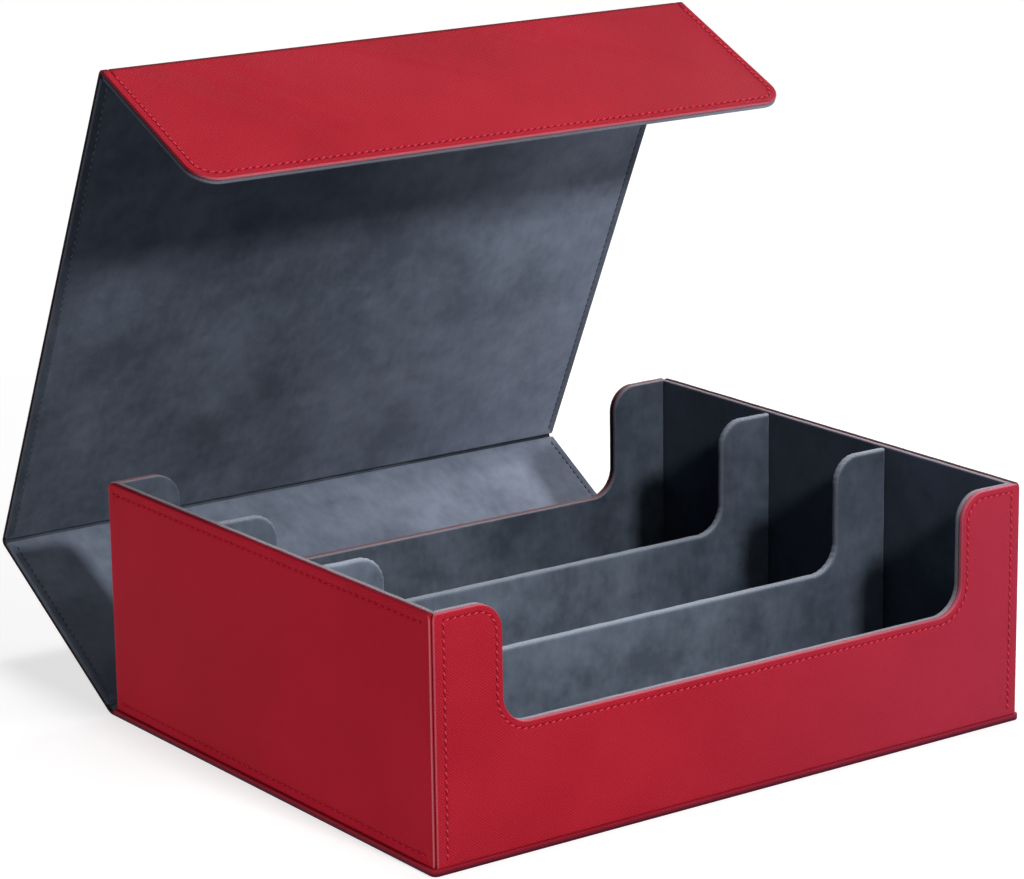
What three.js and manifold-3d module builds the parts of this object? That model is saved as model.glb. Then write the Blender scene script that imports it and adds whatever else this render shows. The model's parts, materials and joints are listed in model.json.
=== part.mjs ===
import * as THREE from 'three';
import { mergeVertices } from 'three/addons/utils/BufferGeometryUtils.js';
import Module from 'manifold-3d';

// A fold-over card storage box. An open tray with three rows stands on one long cover, which runs under the
// tray, up its back, over its top and down its front. Every panel is a greyboard core between two skins: red
// leatherette outside and slate suede inside, each turned over the board's edges and sewn to the other.
// The box stands open here, with its lid raised and leaning back.
// Lengths are in millimetres and angles in degrees. +Z is up, +X runs along the front wall, -Y is the front,
// and the origin is the middle of the tray's footprint on the surface that the box stands on.

// Tray
const trayWidth = 320;
const trayDepth = 258;
const rimHeight = 111;
const rowNames = ['front', 'middle', 'rear'];
const dividerNames = ['front', 'rear'];
const dividerDrop = 0.5;

// The wide cut-out that the front wall, the rear wall and the dividers share. The closed flap covers it and
// reaches on below its floor, where the closing magnets are.
const postWidth = 35.2;
const flapBelowCutOut = 31.45;
const postRadius = 12.5;
const cutOutRadius = 13.5;

// Sheet goods
const leather = 0.7;
const suede = 0.7;
const wallBoard = 3.4;
const dividerBoard = 2.5;
const floorBoard = 1.5;
const coverBoard = 1.8;

// Clearances
const glueGap = 0.3;
const seamGap = 0.3;
const mitreGap = 0.9;
const fitGap = 0.3;

// Edges and corners
const leatherEdgeRadius = 1.1;
const suedeEdgeRadius = 1.1;
const wallTopRadius = 3;
const wallFootRadius = 1.5;
const baseCornerRadius = 3;
const flapCornerRadius = 13;
const dividerEndRadius = 1.4;
const leastRadius = 0.25;

// Cover
const coverOverhang = 1.2;
const baseFrontOverhang = 0.5;
const closedGapBack = 0.6;
const closedGapTop = 0.6;
const closedGapFront = 0.8;
const flapLength = 89.5;
const foldHalfGap = 3.8;
const foldStraight = 0.9;

// How the lid stands: the back cover leans back, the top cover leans forward and the flap is square to it
const backLean = 58.7;
const topLean = 25.3;
const flapFold = 90;

// Closing magnets, in pairs along the front wall and the flap
const magnetDiameter = 12;
const wallMagnetThickness = 2;
const magnetFromFlapEdge = 14.5;
const magnetPlaceShares = [-0.36, -0.12, 0.12, 0.36];

// How finely curves are stepped, and the overrun of every cut
const cornerSteps = 8;
const smallCornerSteps = 4;
const smallRadius = 5;
const edgeSteps = 3;
const foldSteps = 10;
const magnetSides = 24;
const overrun = 5;
const mergeTolerance = 1e-5;

// Thicknesses of the built-up panels
const wall = leather + glueGap + wallBoard + glueGap + suede;
const divider = suede + glueGap + dividerBoard + glueGap + suede;
const cover = leather + glueGap + coverBoard + glueGap + suede;

// The folds turn about lines midway through the leather. The lengths between them follow from the closed box.
const axisDepth = leather / 2;
const coverWidth = trayWidth + 2 * coverOverhang;
const wallFoot = leather + glueGap + coverBoard + glueGap;
const hingeY = trayDepth / 2 + closedGapBack + cover - axisDepth;
const hingeZ = axisDepth;
const backLength = rimHeight + closedGapTop + cover - axisDepth - hingeZ;
const topLength = hingeY + trayDepth / 2 + closedGapFront + cover - axisDepth;
const baseLength = hingeY + trayDepth / 2 + baseFrontOverhang;

// A fold's strips reach almost to the panels on both sides, and lie straight there before they bend
const foldReach = foldHalfGap - fitGap;
const foldTangent = foldReach - foldStraight;

// Heights and widths inside the tray
const innerHalfWidth = trayWidth / 2 - wall;
const innerHalfDepth = trayDepth / 2 - wall;
const cutHalfWidth = trayWidth / 2 - postWidth;
const cutFloor = hingeZ + backLength - flapLength + flapBelowCutOut;
const floorTop = wallFoot + floorBoard;
const rowDepth = (2 * innerHalfDepth - dividerNames.length * divider) / rowNames.length;

// The magnets of the wall sit where those of the closed flap come to rest
const flapMagnetAt = flapLength - magnetFromFlapEdge;
const wallMagnetHeight = hingeZ + backLength - flapMagnetAt;
const magnetPlaces = magnetPlaceShares.map((share) => share * trayWidth);

const wasm = await Module();
wasm.setup();

const finishes = {
  leather: { color: 0xa51c2c, roughness: 0.5, metalness: 0 },
  suede: { color: 0x4a5661, roughness: 0.95, metalness: 0 },
  board: { color: 0x8d857a, roughness: 0.9, metalness: 0 },
  magnet: { color: 0xb9bcc0, roughness: 0.3, metalness: 1 },
};

function toSolid(geometry) {
  const bare = geometry.clone();
  bare.deleteAttribute('normal');
  bare.deleteAttribute('uv');
  const merged = mergeVertices(bare, mergeTolerance);
  const vertProperties = new Float32Array(merged.attributes.position.array);
  const triVerts = new Uint32Array(merged.index.array);
  return new wasm.Manifold(new wasm.Mesh({ numProp: 3, vertProperties, triVerts }));
}

function toGeometry(solid) {
  const { vertProperties, triVerts } = solid.getMesh();
  const geometry = new THREE.BufferGeometry();
  geometry.setAttribute('position', new THREE.BufferAttribute(vertProperties, 3));
  geometry.setIndex(new THREE.BufferAttribute(triVerts, 1));
  geometry.computeVertexNormals();
  return geometry;
}

function piece(name, finish, solid) {
  const mesh = new THREE.Mesh(toGeometry(solid), new THREE.MeshStandardMaterial(finishes[finish]));
  mesh.name = name;
  return mesh;
}

// The points of an outline at an inset from its edges. The corners run anticlockwise, are all square, and are
// each [x, y, radius]. An inset tightens the arc of a corner that stands out and widens one that stands in.
function roundedOutline(corners, inset) {
  const places = corners.map(([x, y]) => new THREE.Vector2(x, y));
  return corners.flatMap(([, , radius], index) => {
    const corner = places[index];
    const toBefore = places.at(index - 1).clone().sub(corner).normalize();
    const toAfter = places[(index + 1) % places.length].clone().sub(corner).normalize();
    const side = Math.sign(toAfter.cross(toBefore));
    const arcRadius = Math.max(radius - side * inset, leastRadius);
    const centre = toBefore.clone().add(toAfter).multiplyScalar(side * inset + arcRadius).add(corner);
    const steps = radius > smallRadius ? cornerSteps : smallCornerSteps;
    return Array.from({ length: steps + 1 }, (_, step) => {
      const angle = (step / steps) * (Math.PI / 2);
      return centre
        .clone()
        .addScaledVector(toAfter, -arcRadius * Math.cos(angle))
        .addScaledVector(toBefore, -arcRadius * Math.sin(angle));
    });
  });
}

// The corners of an upright panel, with the shared cut-out when it has one. The posts beside the cut-out are
// round at the top, and the cut-out's own lower corners are filleted.
function panelCorners({ halfWidth, foot, rim, topRadius, footRadius, cutOut }) {
  const cutCorners = [
    [cutHalfWidth, rim, postRadius],
    [cutHalfWidth, cutFloor, cutOutRadius],
    [-cutHalfWidth, cutFloor, cutOutRadius],
    [-cutHalfWidth, rim, postRadius],
  ];
  return [
    [-halfWidth, foot, footRadius],
    [halfWidth, foot, footRadius],
    [halfWidth, rim, topRadius],
    ...(cutOut ? cutCorners : []),
    [-halfWidth, rim, topRadius],
  ];
}

// A closed body through rings of matching points. Each ring is an outline in X and Z and a depth along +Y.
function loft(rings) {
  const count = rings[0].outline.length;
  const last = (rings.length - 1) * count;
  const positions = rings.flatMap(({ outline, depth }) => outline.flatMap(({ x, y }) => [x, depth, y]));
  const index = [];
  for (let ring = 0; ring < last; ring += count) {
    for (let near = 0; near < count; near += 1) {
      const next = (near + 1) % count;
      index.push(ring + near, ring + count + near, ring + count + next);
      index.push(ring + near, ring + count + next, ring + next);
    }
  }
  THREE.ShapeUtils.triangulateShape(rings[0].outline, []).forEach(([a, b, c]) => index.push(a, b, c));
  THREE.ShapeUtils.triangulateShape(rings.at(-1).outline, []).forEach(([a, b, c]) => {
    index.push(last + a, last + c, last + b);
  });
  const geometry = new THREE.BufferGeometry();
  geometry.setAttribute('position', new THREE.Float32BufferAttribute(positions, 3));
  geometry.setIndex(index);
  return toSolid(geometry);
}

// A slab of an outline between two depths, with its near or far edge rounded where a radius is given.
function slab(outlineAt, from, to, { nearRadius = 0, farRadius = 0 } = {}) {
  const turn = (step) => (step / edgeSteps) * (Math.PI / 2);
  const ring = (radius, step) => ({
    outline: outlineAt(radius * (1 - Math.sin(turn(step)))),
    rise: radius * (1 - Math.cos(turn(step))),
  });
  const steps = Array.from({ length: edgeSteps + 1 }, (_, step) => step);
  const near = nearRadius > 0 ? steps.map((step) => ring(nearRadius, step)) : [ring(0, edgeSteps)];
  const far = farRadius > 0 ? steps.map((step) => ring(farRadius, step)).reverse() : [ring(0, edgeSteps)];
  return loft([
    ...near.map(({ outline, rise }) => ({ outline, depth: from + rise })),
    ...far.map(({ outline, rise }) => ({ outline, depth: to - rise })),
  ]);
}

// The plan of a wall with ends cut at 45 degrees, so that four walls meet at mitred corners. Half of the
// mitre's gap comes off each end.
function mitre(halfWidth) {
  const near = halfWidth - mitreGap / Math.SQRT2 + overrun;
  const far = near - wall - 2 * overrun;
  const plan = new THREE.Shape([
    new THREE.Vector2(-near, -overrun),
    new THREE.Vector2(near, -overrun),
    new THREE.Vector2(far, wall + overrun),
    new THREE.Vector2(-far, wall + overrun),
  ]);
  return toSolid(new THREE.ExtrudeGeometry(plan, { depth: rimHeight + overrun, bevelEnabled: false }));
}

// One upright wall. Its outer face is the plane Y = 0, and it is built inward along +Y. The leather and the
// lining are each turned over the board's edges as far as the seam at mid-thickness.
function wallPieces(halfWidth, cutOut) {
  const corners = panelCorners({
    halfWidth,
    foot: wallFoot,
    rim: rimHeight,
    topRadius: wallTopRadius,
    footRadius: wallFootRadius,
    cutOut,
  });
  const outlineAt = (inset) => roundedOutline(corners, inset);
  const boardFrom = leather + glueGap;
  const ends = mitre(halfWidth);
  const leatherSkin = slab(outlineAt, 0, wall / 2 - seamGap / 2, { nearRadius: leatherEdgeRadius })
    .subtract(slab((inset) => outlineAt(inset + leather), leather, wall));
  const board = slab((inset) => outlineAt(inset + leather + glueGap), boardFrom, boardFrom + wallBoard);
  const lining = slab(outlineAt, wall / 2 + seamGap / 2, wall, { farRadius: suedeEdgeRadius })
    .subtract(slab((inset) => outlineAt(inset + suede), 0, wall - suede));
  return {
    board: board.intersect(ends),
    leather: leatherSkin.intersect(ends),
    lining: lining.intersect(ends),
  };
}

function wallGroup(name, pieces, x, y, turn) {
  const group = new THREE.Group();
  group.add(
    piece(`${name}_board`, 'board', pieces.board),
    piece(`${name}_leather`, 'leather', pieces.leather),
    piece(`${name}_lining`, 'suede', pieces.lining),
  );
  group.position.set(x, y, 0);
  group.rotation.z = THREE.MathUtils.degToRad(turn);
  return group;
}

// A disc with its round faces square to Y, between two depths.
function disc(diameter, x, z, fromY, toY) {
  const geometry = new THREE.CylinderGeometry(diameter / 2, diameter / 2, toY - fromY, magnetSides);
  geometry.translate(x, (fromY + toY) / 2, z);
  return toSolid(geometry);
}

function cutAll(solid, cutters) {
  return cutters.reduce((left, cutter) => left.subtract(cutter), solid);
}

// The front wall's magnets lie in blind pockets of its board, under the leather.
function frontWall() {
  const pieces = wallPieces(trayWidth / 2, true);
  const from = leather + glueGap;
  const to = from + wallMagnetThickness;
  const pockets = magnetPlaces.map((x) =>
    disc(magnetDiameter + 2 * fitGap, x, wallMagnetHeight, from - overrun, to + fitGap),
  );
  const board = cutAll(pieces.board, pockets);
  const group = wallGroup('front_wall', { ...pieces, board }, 0, -trayDepth / 2, 0);
  magnetPlaces.forEach((x, index) => {
    const magnet = disc(magnetDiameter, x, wallMagnetHeight, from, to);
    group.add(piece(`wall_magnet_${index + 1}`, 'magnet', magnet));
  });
  return group;
}

// A divider is a board in a suede sleeve that is closed over the top and open underneath.
function dividerGroup(name, frontFace) {
  const cornersFrom = (foot) =>
    panelCorners({
      halfWidth: innerHalfWidth - fitGap,
      foot,
      rim: rimHeight - dividerDrop,
      topRadius: dividerEndRadius,
      footRadius: dividerEndRadius,
      cutOut: true,
    });
  const foot = floorTop + glueGap;
  const corners = cornersFrom(foot);
  const openBelow = cornersFrom(foot - overrun);
  const rounding = { nearRadius: suedeEdgeRadius, farRadius: suedeEdgeRadius };
  const boardFrom = suede + glueGap;
  const boardTo = boardFrom + dividerBoard;
  const hollow = slab((inset) => roundedOutline(openBelow, inset + suede), suede, divider - suede);
  const sleeve = slab((inset) => roundedOutline(corners, inset), 0, divider, rounding).subtract(hollow);
  const board = slab((inset) => roundedOutline(corners, inset + boardFrom), boardFrom, boardTo);
  const group = new THREE.Group();
  group.add(piece(`${name}_board`, 'board', board), piece(`${name}_suede`, 'suede', sleeve));
  group.position.y = frontFace;
  return group;
}

// A flat sheet inside the tray, between two depths in Y and two heights.
function floorSheet(name, finish, [fromY, toY], [low, high]) {
  const halfWidth = innerHalfWidth - fitGap;
  const plan = new THREE.Shape([
    new THREE.Vector2(-halfWidth, fromY),
    new THREE.Vector2(halfWidth, fromY),
    new THREE.Vector2(halfWidth, toY),
    new THREE.Vector2(-halfWidth, toY),
  ]);
  const geometry = new THREE.ExtrudeGeometry(plan, { depth: high - low, bevelEnabled: false });
  geometry.translate(0, 0, low);
  return piece(name, finish, toSolid(geometry));
}

function rowFront(row) {
  return -innerHalfDepth + row * (rowDepth + divider);
}

function trayGroup() {
  const tray = new THREE.Group();
  tray.add(frontWall());
  tray.add(wallGroup('rear_wall', wallPieces(trayWidth / 2, true), 0, trayDepth / 2, 180));
  tray.add(wallGroup('left_wall', wallPieces(trayDepth / 2, false), -trayWidth / 2, 0, -90));
  tray.add(wallGroup('right_wall', wallPieces(trayDepth / 2, false), trayWidth / 2, 0, 90));
  const floorHalfDepth = innerHalfDepth - fitGap;
  tray.add(floorSheet('tray_floor_board', 'board', [-floorHalfDepth, floorHalfDepth], [wallFoot, floorTop]));
  rowNames.forEach((place, row) => {
    const from = rowFront(row) + fitGap;
    const to = rowFront(row) + rowDepth - fitGap;
    const low = floorTop + glueGap;
    tray.add(floorSheet(`${place}_row_lining`, 'suede', [from, to], [low, low + suede]));
  });
  dividerNames.forEach((place, row) => {
    tray.add(dividerGroup(`${place}_divider`, rowFront(row) + rowDepth));
  });
  return tray;
}

// A panel of the cover lies along +Z from the fold at its origin, between two distances from that fold. An end
// that meets a fold keeps its place at every inset.
function coverOutline({ from, to, foldAtFrom, foldAtTo, endRadius }, inset) {
  const side = coverWidth / 2;
  const low = foldAtFrom ? from - inset : from;
  const high = foldAtTo ? to + inset : to;
  const lowRadius = foldAtFrom ? leastRadius : endRadius;
  const highRadius = foldAtTo ? leastRadius : endRadius;
  const corners = [
    [-side, low, lowRadius],
    [side, low, lowRadius],
    [side, high, highRadius],
    [-side, high, highRadius],
  ];
  return roundedOutline(corners, inset);
}

// The leather of a panel, turned up round its free edges as far as a depth, and open where it meets a fold.
function coverLeather(span, lipEnd) {
  const { from, to, foldAtFrom, foldAtTo } = span;
  const hollow = { ...span, from: foldAtFrom ? from - overrun : from, to: foldAtTo ? to + overrun : to };
  return slab((inset) => coverOutline(span, inset), 0, lipEnd, { nearRadius: leatherEdgeRadius })
    .subtract(slab((inset) => coverOutline(hollow, inset + leather), leather, cover));
}

// A panel is built from its outer face inward along +Y. The suede is turned down round every edge.
function coverPieces(span) {
  const sides = { ...span, foldAtFrom: false, foldAtTo: false };
  const liningAt = (inset) => coverOutline(sides, inset);
  const boardFrom = leather + glueGap;
  return {
    board: slab((inset) => coverOutline(sides, inset + boardFrom), boardFrom, boardFrom + coverBoard),
    leather: coverLeather(span, cover / 2 - seamGap / 2),
    lining: slab(liningAt, cover / 2 + seamGap / 2, cover, { farRadius: suedeEdgeRadius })
      .subtract(slab((inset) => liningAt(inset + suede), 0, cover - suede)),
  };
}

// Turns a piece of a panel over, so that its outer face is half the leather's thickness above the fold's line.
function facingUp(mesh) {
  mesh.rotation.z = Math.PI;
  mesh.position.y = axisDepth;
  return mesh;
}

// The cross-section of a strip of a fold, at a distance inside the line midway through the leather. It runs
// straight off the first panel, round an arc and straight on to the second one.
function foldSection(bend, inside, thickness) {
  const angle = THREE.MathUtils.degToRad(bend);
  const radius = foldTangent / Math.tan(angle / 2);
  const lineAt = (offset) => {
    const arc = Array.from({ length: foldSteps + 1 }, (_, step) => {
      const turned = (step / foldSteps) * angle;
      const out = radius - offset;
      return new THREE.Vector2(-radius + out * Math.cos(turned), -foldTangent + out * Math.sin(turned));
    });
    const start = new THREE.Vector2(-offset, -foldReach);
    const along = new THREE.Vector2(-Math.sin(angle), Math.cos(angle));
    const inward = new THREE.Vector2(-Math.cos(angle), -Math.sin(angle));
    const end = along.clone().multiplyScalar(foldReach).addScaledVector(inward, offset);
    return [start, ...arc, end];
  };
  const outer = lineAt(inside - thickness / 2);
  const inner = lineAt(inside + thickness / 2);
  return new THREE.Shape([...outer, ...inner.reverse()]);
}

function foldStrip(name, finish, bend, inside, thickness) {
  const section = foldSection(bend, inside, thickness);
  const geometry = new THREE.ExtrudeGeometry(section, { depth: coverWidth, bevelEnabled: false });
  geometry.translate(0, 0, -coverWidth / 2);
  const toPlace = new THREE.Matrix4().makeBasis(
    new THREE.Vector3(0, 1, 0),
    new THREE.Vector3(0, 0, 1),
    new THREE.Vector3(1, 0, 0),
  );
  geometry.applyMatrix4(toPlace);
  return piece(name, finish, toSolid(geometry));
}

// The two strips of a fold, leather outside and suede close inside it. The strips stand in the frame of the
// panel before the fold, with the fold's line at the origin.
function foldGroup(name, bend) {
  const group = new THREE.Group();
  const inside = leather / 2 + glueGap + suede / 2;
  group.add(
    foldStrip(`${name}_leather`, 'leather', bend, 0, leather),
    foldStrip(`${name}_lining`, 'suede', bend, inside, suede),
  );
  return group;
}

function coverGroup(name, pieces) {
  const group = new THREE.Group();
  group.add(
    facingUp(piece(`${name}_board`, 'board', pieces.board)),
    facingUp(piece(`${name}_leather`, 'leather', pieces.leather)),
    facingUp(piece(`${name}_lining`, 'suede', pieces.lining)),
  );
  return group;
}

// The base of the cover has no lining, because the tray is glued on it.
function baseGroup() {
  const span = {
    from: -baseLength,
    to: -foldHalfGap,
    foldAtFrom: false,
    foldAtTo: true,
    endRadius: baseCornerRadius,
  };
  const boardFrom = leather + glueGap;
  const boardTo = boardFrom + coverBoard;
  const board = slab((inset) => coverOutline(span, inset + boardFrom), boardFrom, boardTo);
  const base = new THREE.Group();
  base.add(
    facingUp(piece('base_board', 'board', board)),
    facingUp(piece('base_leather', 'leather', coverLeather(span, boardTo))),
  );
  return base;
}

// The flap's magnets fill holes through its board. They are named so that each meets its pair on the wall.
function flapGroup() {
  const span = {
    from: foldHalfGap,
    to: flapLength,
    foldAtFrom: true,
    foldAtTo: false,
    endRadius: flapCornerRadius,
  };
  const pieces = coverPieces(span);
  const from = leather + glueGap;
  const to = from + coverBoard;
  const holes = magnetPlaces.map((x) =>
    disc(magnetDiameter + 2 * fitGap, -x, flapMagnetAt, from - overrun, to + overrun),
  );
  const flap = coverGroup('flap', { ...pieces, board: cutAll(pieces.board, holes) });
  magnetPlaces.forEach((x, index) => {
    const magnet = disc(magnetDiameter, -x, flapMagnetAt, from, to);
    flap.add(facingUp(piece(`flap_magnet_${index + 1}`, 'magnet', magnet)));
  });
  return flap;
}

function turnAboutX(group, degrees) {
  group.rotation.x = THREE.MathUtils.degToRad(degrees);
  return group;
}

// Hangs a panel on the one before it, with the fold's strips between them and the panel turned by the bend.
function hangOn(before, panel, foldName, bend, distance) {
  const fold = foldGroup(foldName, bend);
  fold.position.z = distance;
  panel.position.z = distance;
  before.add(fold, turnAboutX(panel, bend));
}

// The cover's four panels, each hung on the one before it. The base lies flat, outer face down.
function coverChain() {
  const between = (length) => ({
    from: foldHalfGap,
    to: length - foldHalfGap,
    foldAtFrom: true,
    foldAtTo: true,
    endRadius: leastRadius,
  });
  const base = turnAboutX(baseGroup(), -90);
  const back = coverGroup('back_cover', coverPieces(between(backLength)));
  const top = coverGroup('top_cover', coverPieces(between(topLength)));
  const flap = flapGroup();
  base.position.set(0, hingeY, hingeZ);
  hangOn(base, back, 'rear_fold', 90 - backLean, 0);
  hangOn(back, top, 'top_fold', backLean + topLean, backLength);
  hangOn(top, flap, 'front_fold', flapFold, topLength);
  return base;
}

const box = new THREE.Group();
box.add(trayGroup(), coverChain());

export default box;
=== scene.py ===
"""A fold-over card storage box, standing open: red leatherette outside and slate suede inside.

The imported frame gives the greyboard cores, the magnets and the lines that the lid's folds turn about. This
script covers the boards as a box maker does. Each sheet is laid on its board, turned over the edges and
sewn, and a strip of each sheet runs on over every fold. Lengths are in metres, and MM turns millimetres
into metres.
"""

from __future__ import annotations

import json
import logging
import math
from dataclasses import dataclass, field, replace
from enum import Enum

import bpy
import numpy as np
from mathutils import Matrix, Vector


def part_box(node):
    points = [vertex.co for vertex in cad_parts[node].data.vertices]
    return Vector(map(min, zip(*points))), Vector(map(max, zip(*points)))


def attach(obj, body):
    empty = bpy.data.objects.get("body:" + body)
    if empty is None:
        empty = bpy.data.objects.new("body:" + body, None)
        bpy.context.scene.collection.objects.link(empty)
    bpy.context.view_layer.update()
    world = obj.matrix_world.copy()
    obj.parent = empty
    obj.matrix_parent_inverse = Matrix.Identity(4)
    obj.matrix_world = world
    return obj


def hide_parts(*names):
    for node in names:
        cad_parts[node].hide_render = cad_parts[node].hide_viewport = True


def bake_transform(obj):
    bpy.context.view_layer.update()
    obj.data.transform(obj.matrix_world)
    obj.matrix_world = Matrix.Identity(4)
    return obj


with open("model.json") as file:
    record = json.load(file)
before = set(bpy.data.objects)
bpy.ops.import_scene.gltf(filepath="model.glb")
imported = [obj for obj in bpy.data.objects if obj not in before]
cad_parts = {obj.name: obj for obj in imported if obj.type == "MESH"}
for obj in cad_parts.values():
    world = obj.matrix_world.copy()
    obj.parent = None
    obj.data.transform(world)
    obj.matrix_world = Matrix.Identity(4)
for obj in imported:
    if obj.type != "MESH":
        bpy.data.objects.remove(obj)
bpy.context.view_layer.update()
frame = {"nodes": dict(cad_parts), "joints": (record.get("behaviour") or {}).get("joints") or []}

MM = 0.001
SAME_LEVEL = 0.01 * MM
Array = np.ndarray
Colour = tuple[float, float, float]
Material = bpy.types.Material
Mesh = bpy.types.Mesh
Socket = bpy.types.NodeSocket
SQUARE = ((-1.0, -1.0), (1.0, -1.0), (1.0, 1.0), (-1.0, 1.0))
log = logging.getLogger("card_box")


class Edge(Enum):
    """What becomes of a sheet at an edge of its board."""

    SEWN = "turned over the edge and sewn down"
    GLUED = "turned over the edge and glued down"
    MITRED = "cut at 45 degrees, to meet the next wall"
    FOLD = "running on into a fold"


def smooth_step(share: Array) -> Array:
    """Eases a share from 0 to 1 with level ends: three squares less two cubes."""
    held = np.clip(share, 0.0, 1.0)
    return held * held * (3.0 - 2.0 * held)


def gone_along(points: Array) -> Array:
    """Gives the way gone along a line up to each of its points."""
    legs = np.linalg.norm(np.diff(points, axis=0), axis=1)
    return np.concatenate([[0.0], np.cumsum(legs)])


def unrolled(rows: Array) -> Array:
    """Gives each row's inset on the flat sheet, which is the first inset less the way gone since."""
    return rows[0, 0] - gone_along(rows)


def quarter_round(radius: float, steps: int) -> Array:
    """Gives rows over a round edge, each an inset from the edge's side and a depth behind its face."""
    turn = np.linspace(0.0, math.pi / 2.0, steps)
    return radius * np.stack([1.0 - np.sin(turn), 1.0 - np.cos(turn)], axis=-1)


def linear(colour: Colour) -> tuple[float, float, float, float]:
    """Turns a colour as seen on a screen, from 0 to 255, into linear light.

    Args:
        colour: Red, green and blue from 0 to 255.

    Returns:
        The linear colour with an alpha of 1.
    """
    seen = np.array(colour) / 255.0
    light = np.where(seen <= 0.04045, seen / 12.92, ((seen + 0.055) / 1.055) ** 2.4)
    return (float(light[0]), float(light[1]), float(light[2]), 1.0)


class Nodes:
    """A tree of shader nodes."""

    def __init__(self, tree: bpy.types.NodeTree) -> None:
        """Empties the tree, to fill it anew."""
        self.tree = tree
        self.tree.nodes.clear()

    def add(self, kind: str, **settings: object) -> bpy.types.Node:
        """Adds a node.

        Args:
            kind: The node's kind.
            settings: The node's settings.

        Returns:
            The node.
        """
        node = self.tree.nodes.new(kind)
        for setting, value in settings.items():
            setattr(node, setting, value)
        return node

    def feed(self, socket: Socket, value: object) -> None:
        """Links an input to another node's output, or sets it to a plain value.

        Args:
            socket: The input.
            value: The output or the value.
        """
        if isinstance(value, Socket):
            self.tree.links.new(value, socket)
        else:
            socket.default_value = value

    def sets(self, node: bpy.types.Node, **values: object) -> None:
        """Feeds a node's inputs by their names. An underscore in a name stands for a space."""
        for socket, value in values.items():
            self.feed(node.inputs[socket.replace("_", " ")], value)

    def maths(self, operation: str, *values: object) -> Socket:
        """Joins numbers by a Math node.

        Args:
            operation: The node's operation.
            values: The numbers, plain or from other nodes.

        Returns:
            The result.
        """
        node = self.add("ShaderNodeMath", operation=operation)
        for socket, value in zip(node.inputs, values):
            self.feed(socket, value)
        return node.outputs[0]

    def weigh(self, *parts: tuple[object, float]) -> Socket:
        """Adds up numbers, each times its weight.

        Args:
            parts: The numbers with their weights.

        Returns:
            The sum.
        """
        total: object = 0.0
        for value, weight in parts:
            total = self.maths("MULTIPLY_ADD", value, weight, total)
        return total

    def span(self, value: object, low: float, high: float, to_low: float, to_high: float) -> Socket:
        """Carries a number from one span to another, and holds it there.

        Args:
            value: The number.
            low: Where the first span starts.
            high: Where the first span ends.
            to_low: Where the second span starts.
            to_high: Where the second span ends.

        Returns:
            The number in the second span.
        """
        node = self.add("ShaderNodeMapRange", clamp=True)
        for socket, given in zip(node.inputs, (value, low, high, to_low, to_high)):
            self.feed(socket, given)
        return node.outputs[0]

    def blend(self, share: object, first: object, second: object) -> Socket:
        """Blends two colours.

        Args:
            share: The second colour's share.
            first: The first colour.
            second: The second colour.

        Returns:
            The blended colour.
        """
        node = self.add("ShaderNodeMix", data_type="RGBA")
        for at, given in ((0, share), (6, first), (7, second)):
            self.feed(node.inputs[at], given)
        return node.outputs[2]

    def attribute(self, name: str) -> Socket:
        """Reads a number that the mesh carries at each of its points."""
        return self.add("ShaderNodeAttribute", attribute_name=name).outputs["Fac"]

    def sheet_place(self) -> Socket:
        """Gives the place on the flat sheet, in metres, from the piece's UV map."""
        return self.add("ShaderNodeUVMap", uv_map="sheet").outputs["UV"]

    def solid_place(self) -> Socket:
        """Gives the place in the object, in metres."""
        return self.add("ShaderNodeTexCoord").outputs["Object"]

    def place_along(self, axis: str) -> Socket:
        """Gives the place in the object along one axis, in metres.

        Args:
            axis: The axis's letter.

        Returns:
            The place along it.
        """
        parts = self.add("ShaderNodeSeparateXYZ")
        self.sets(parts, Vector=self.solid_place())
        return parts.outputs[axis]

    def stretch(self, place: Socket, scale: Colour, turn: float = 0.0) -> Socket:
        """Turns a place in the sheet and stretches it along its axes.

        Args:
            place: The place.
            scale: How much finer the pattern gets along each axis.
            turn: The pattern's turn in the sheet, in degrees.

        Returns:
            The stretched place.
        """
        node = self.add("ShaderNodeMapping")
        self.sets(node, Vector=place, Rotation=(0.0, 0.0, math.radians(turn)), Scale=scale)
        return node.outputs[0]

    def noise(self, place: Socket, size: float, detail: float = 2.0, rough: float = 0.5) -> Socket:
        """Gives a soft random number from 0 to 1.

        Args:
            place: The place.
            size: About how wide its patches are, in metres.
            detail: How many finer patterns are laid over the first.
            rough: How strong the finer patterns are.

        Returns:
            The number.
        """
        node = self.add("ShaderNodeTexNoise")
        self.sets(node, Vector=place, Scale=1.0 / size, Detail=detail, Roughness=rough)
        return node.outputs["Fac"]

    def ridges(self, place: Socket, pitch: float, turn: float, waver: float) -> Socket:
        """Gives parallel ridges from 0 to 1, a sine wave across the sheet.

        Args:
            place: The place on the sheet.
            pitch: From one ridge to the next, in metres.
            turn: The ridges' direction in the sheet, in degrees.
            waver: How unsteady the ridges are.

        Returns:
            The height of the ridges.
        """
        node = self.add("ShaderNodeTexWave", wave_type="BANDS", bands_direction="X", wave_profile="SIN")
        turned = self.stretch(place, (1.0, 1.0, 1.0), turn)
        waves = math.tau / 20.0 / pitch
        self.sets(node, Vector=turned, Scale=waves, Distortion=waver, Detail=2.0, Detail_Scale=1.6)
        return node.outputs["Fac"]


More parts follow.
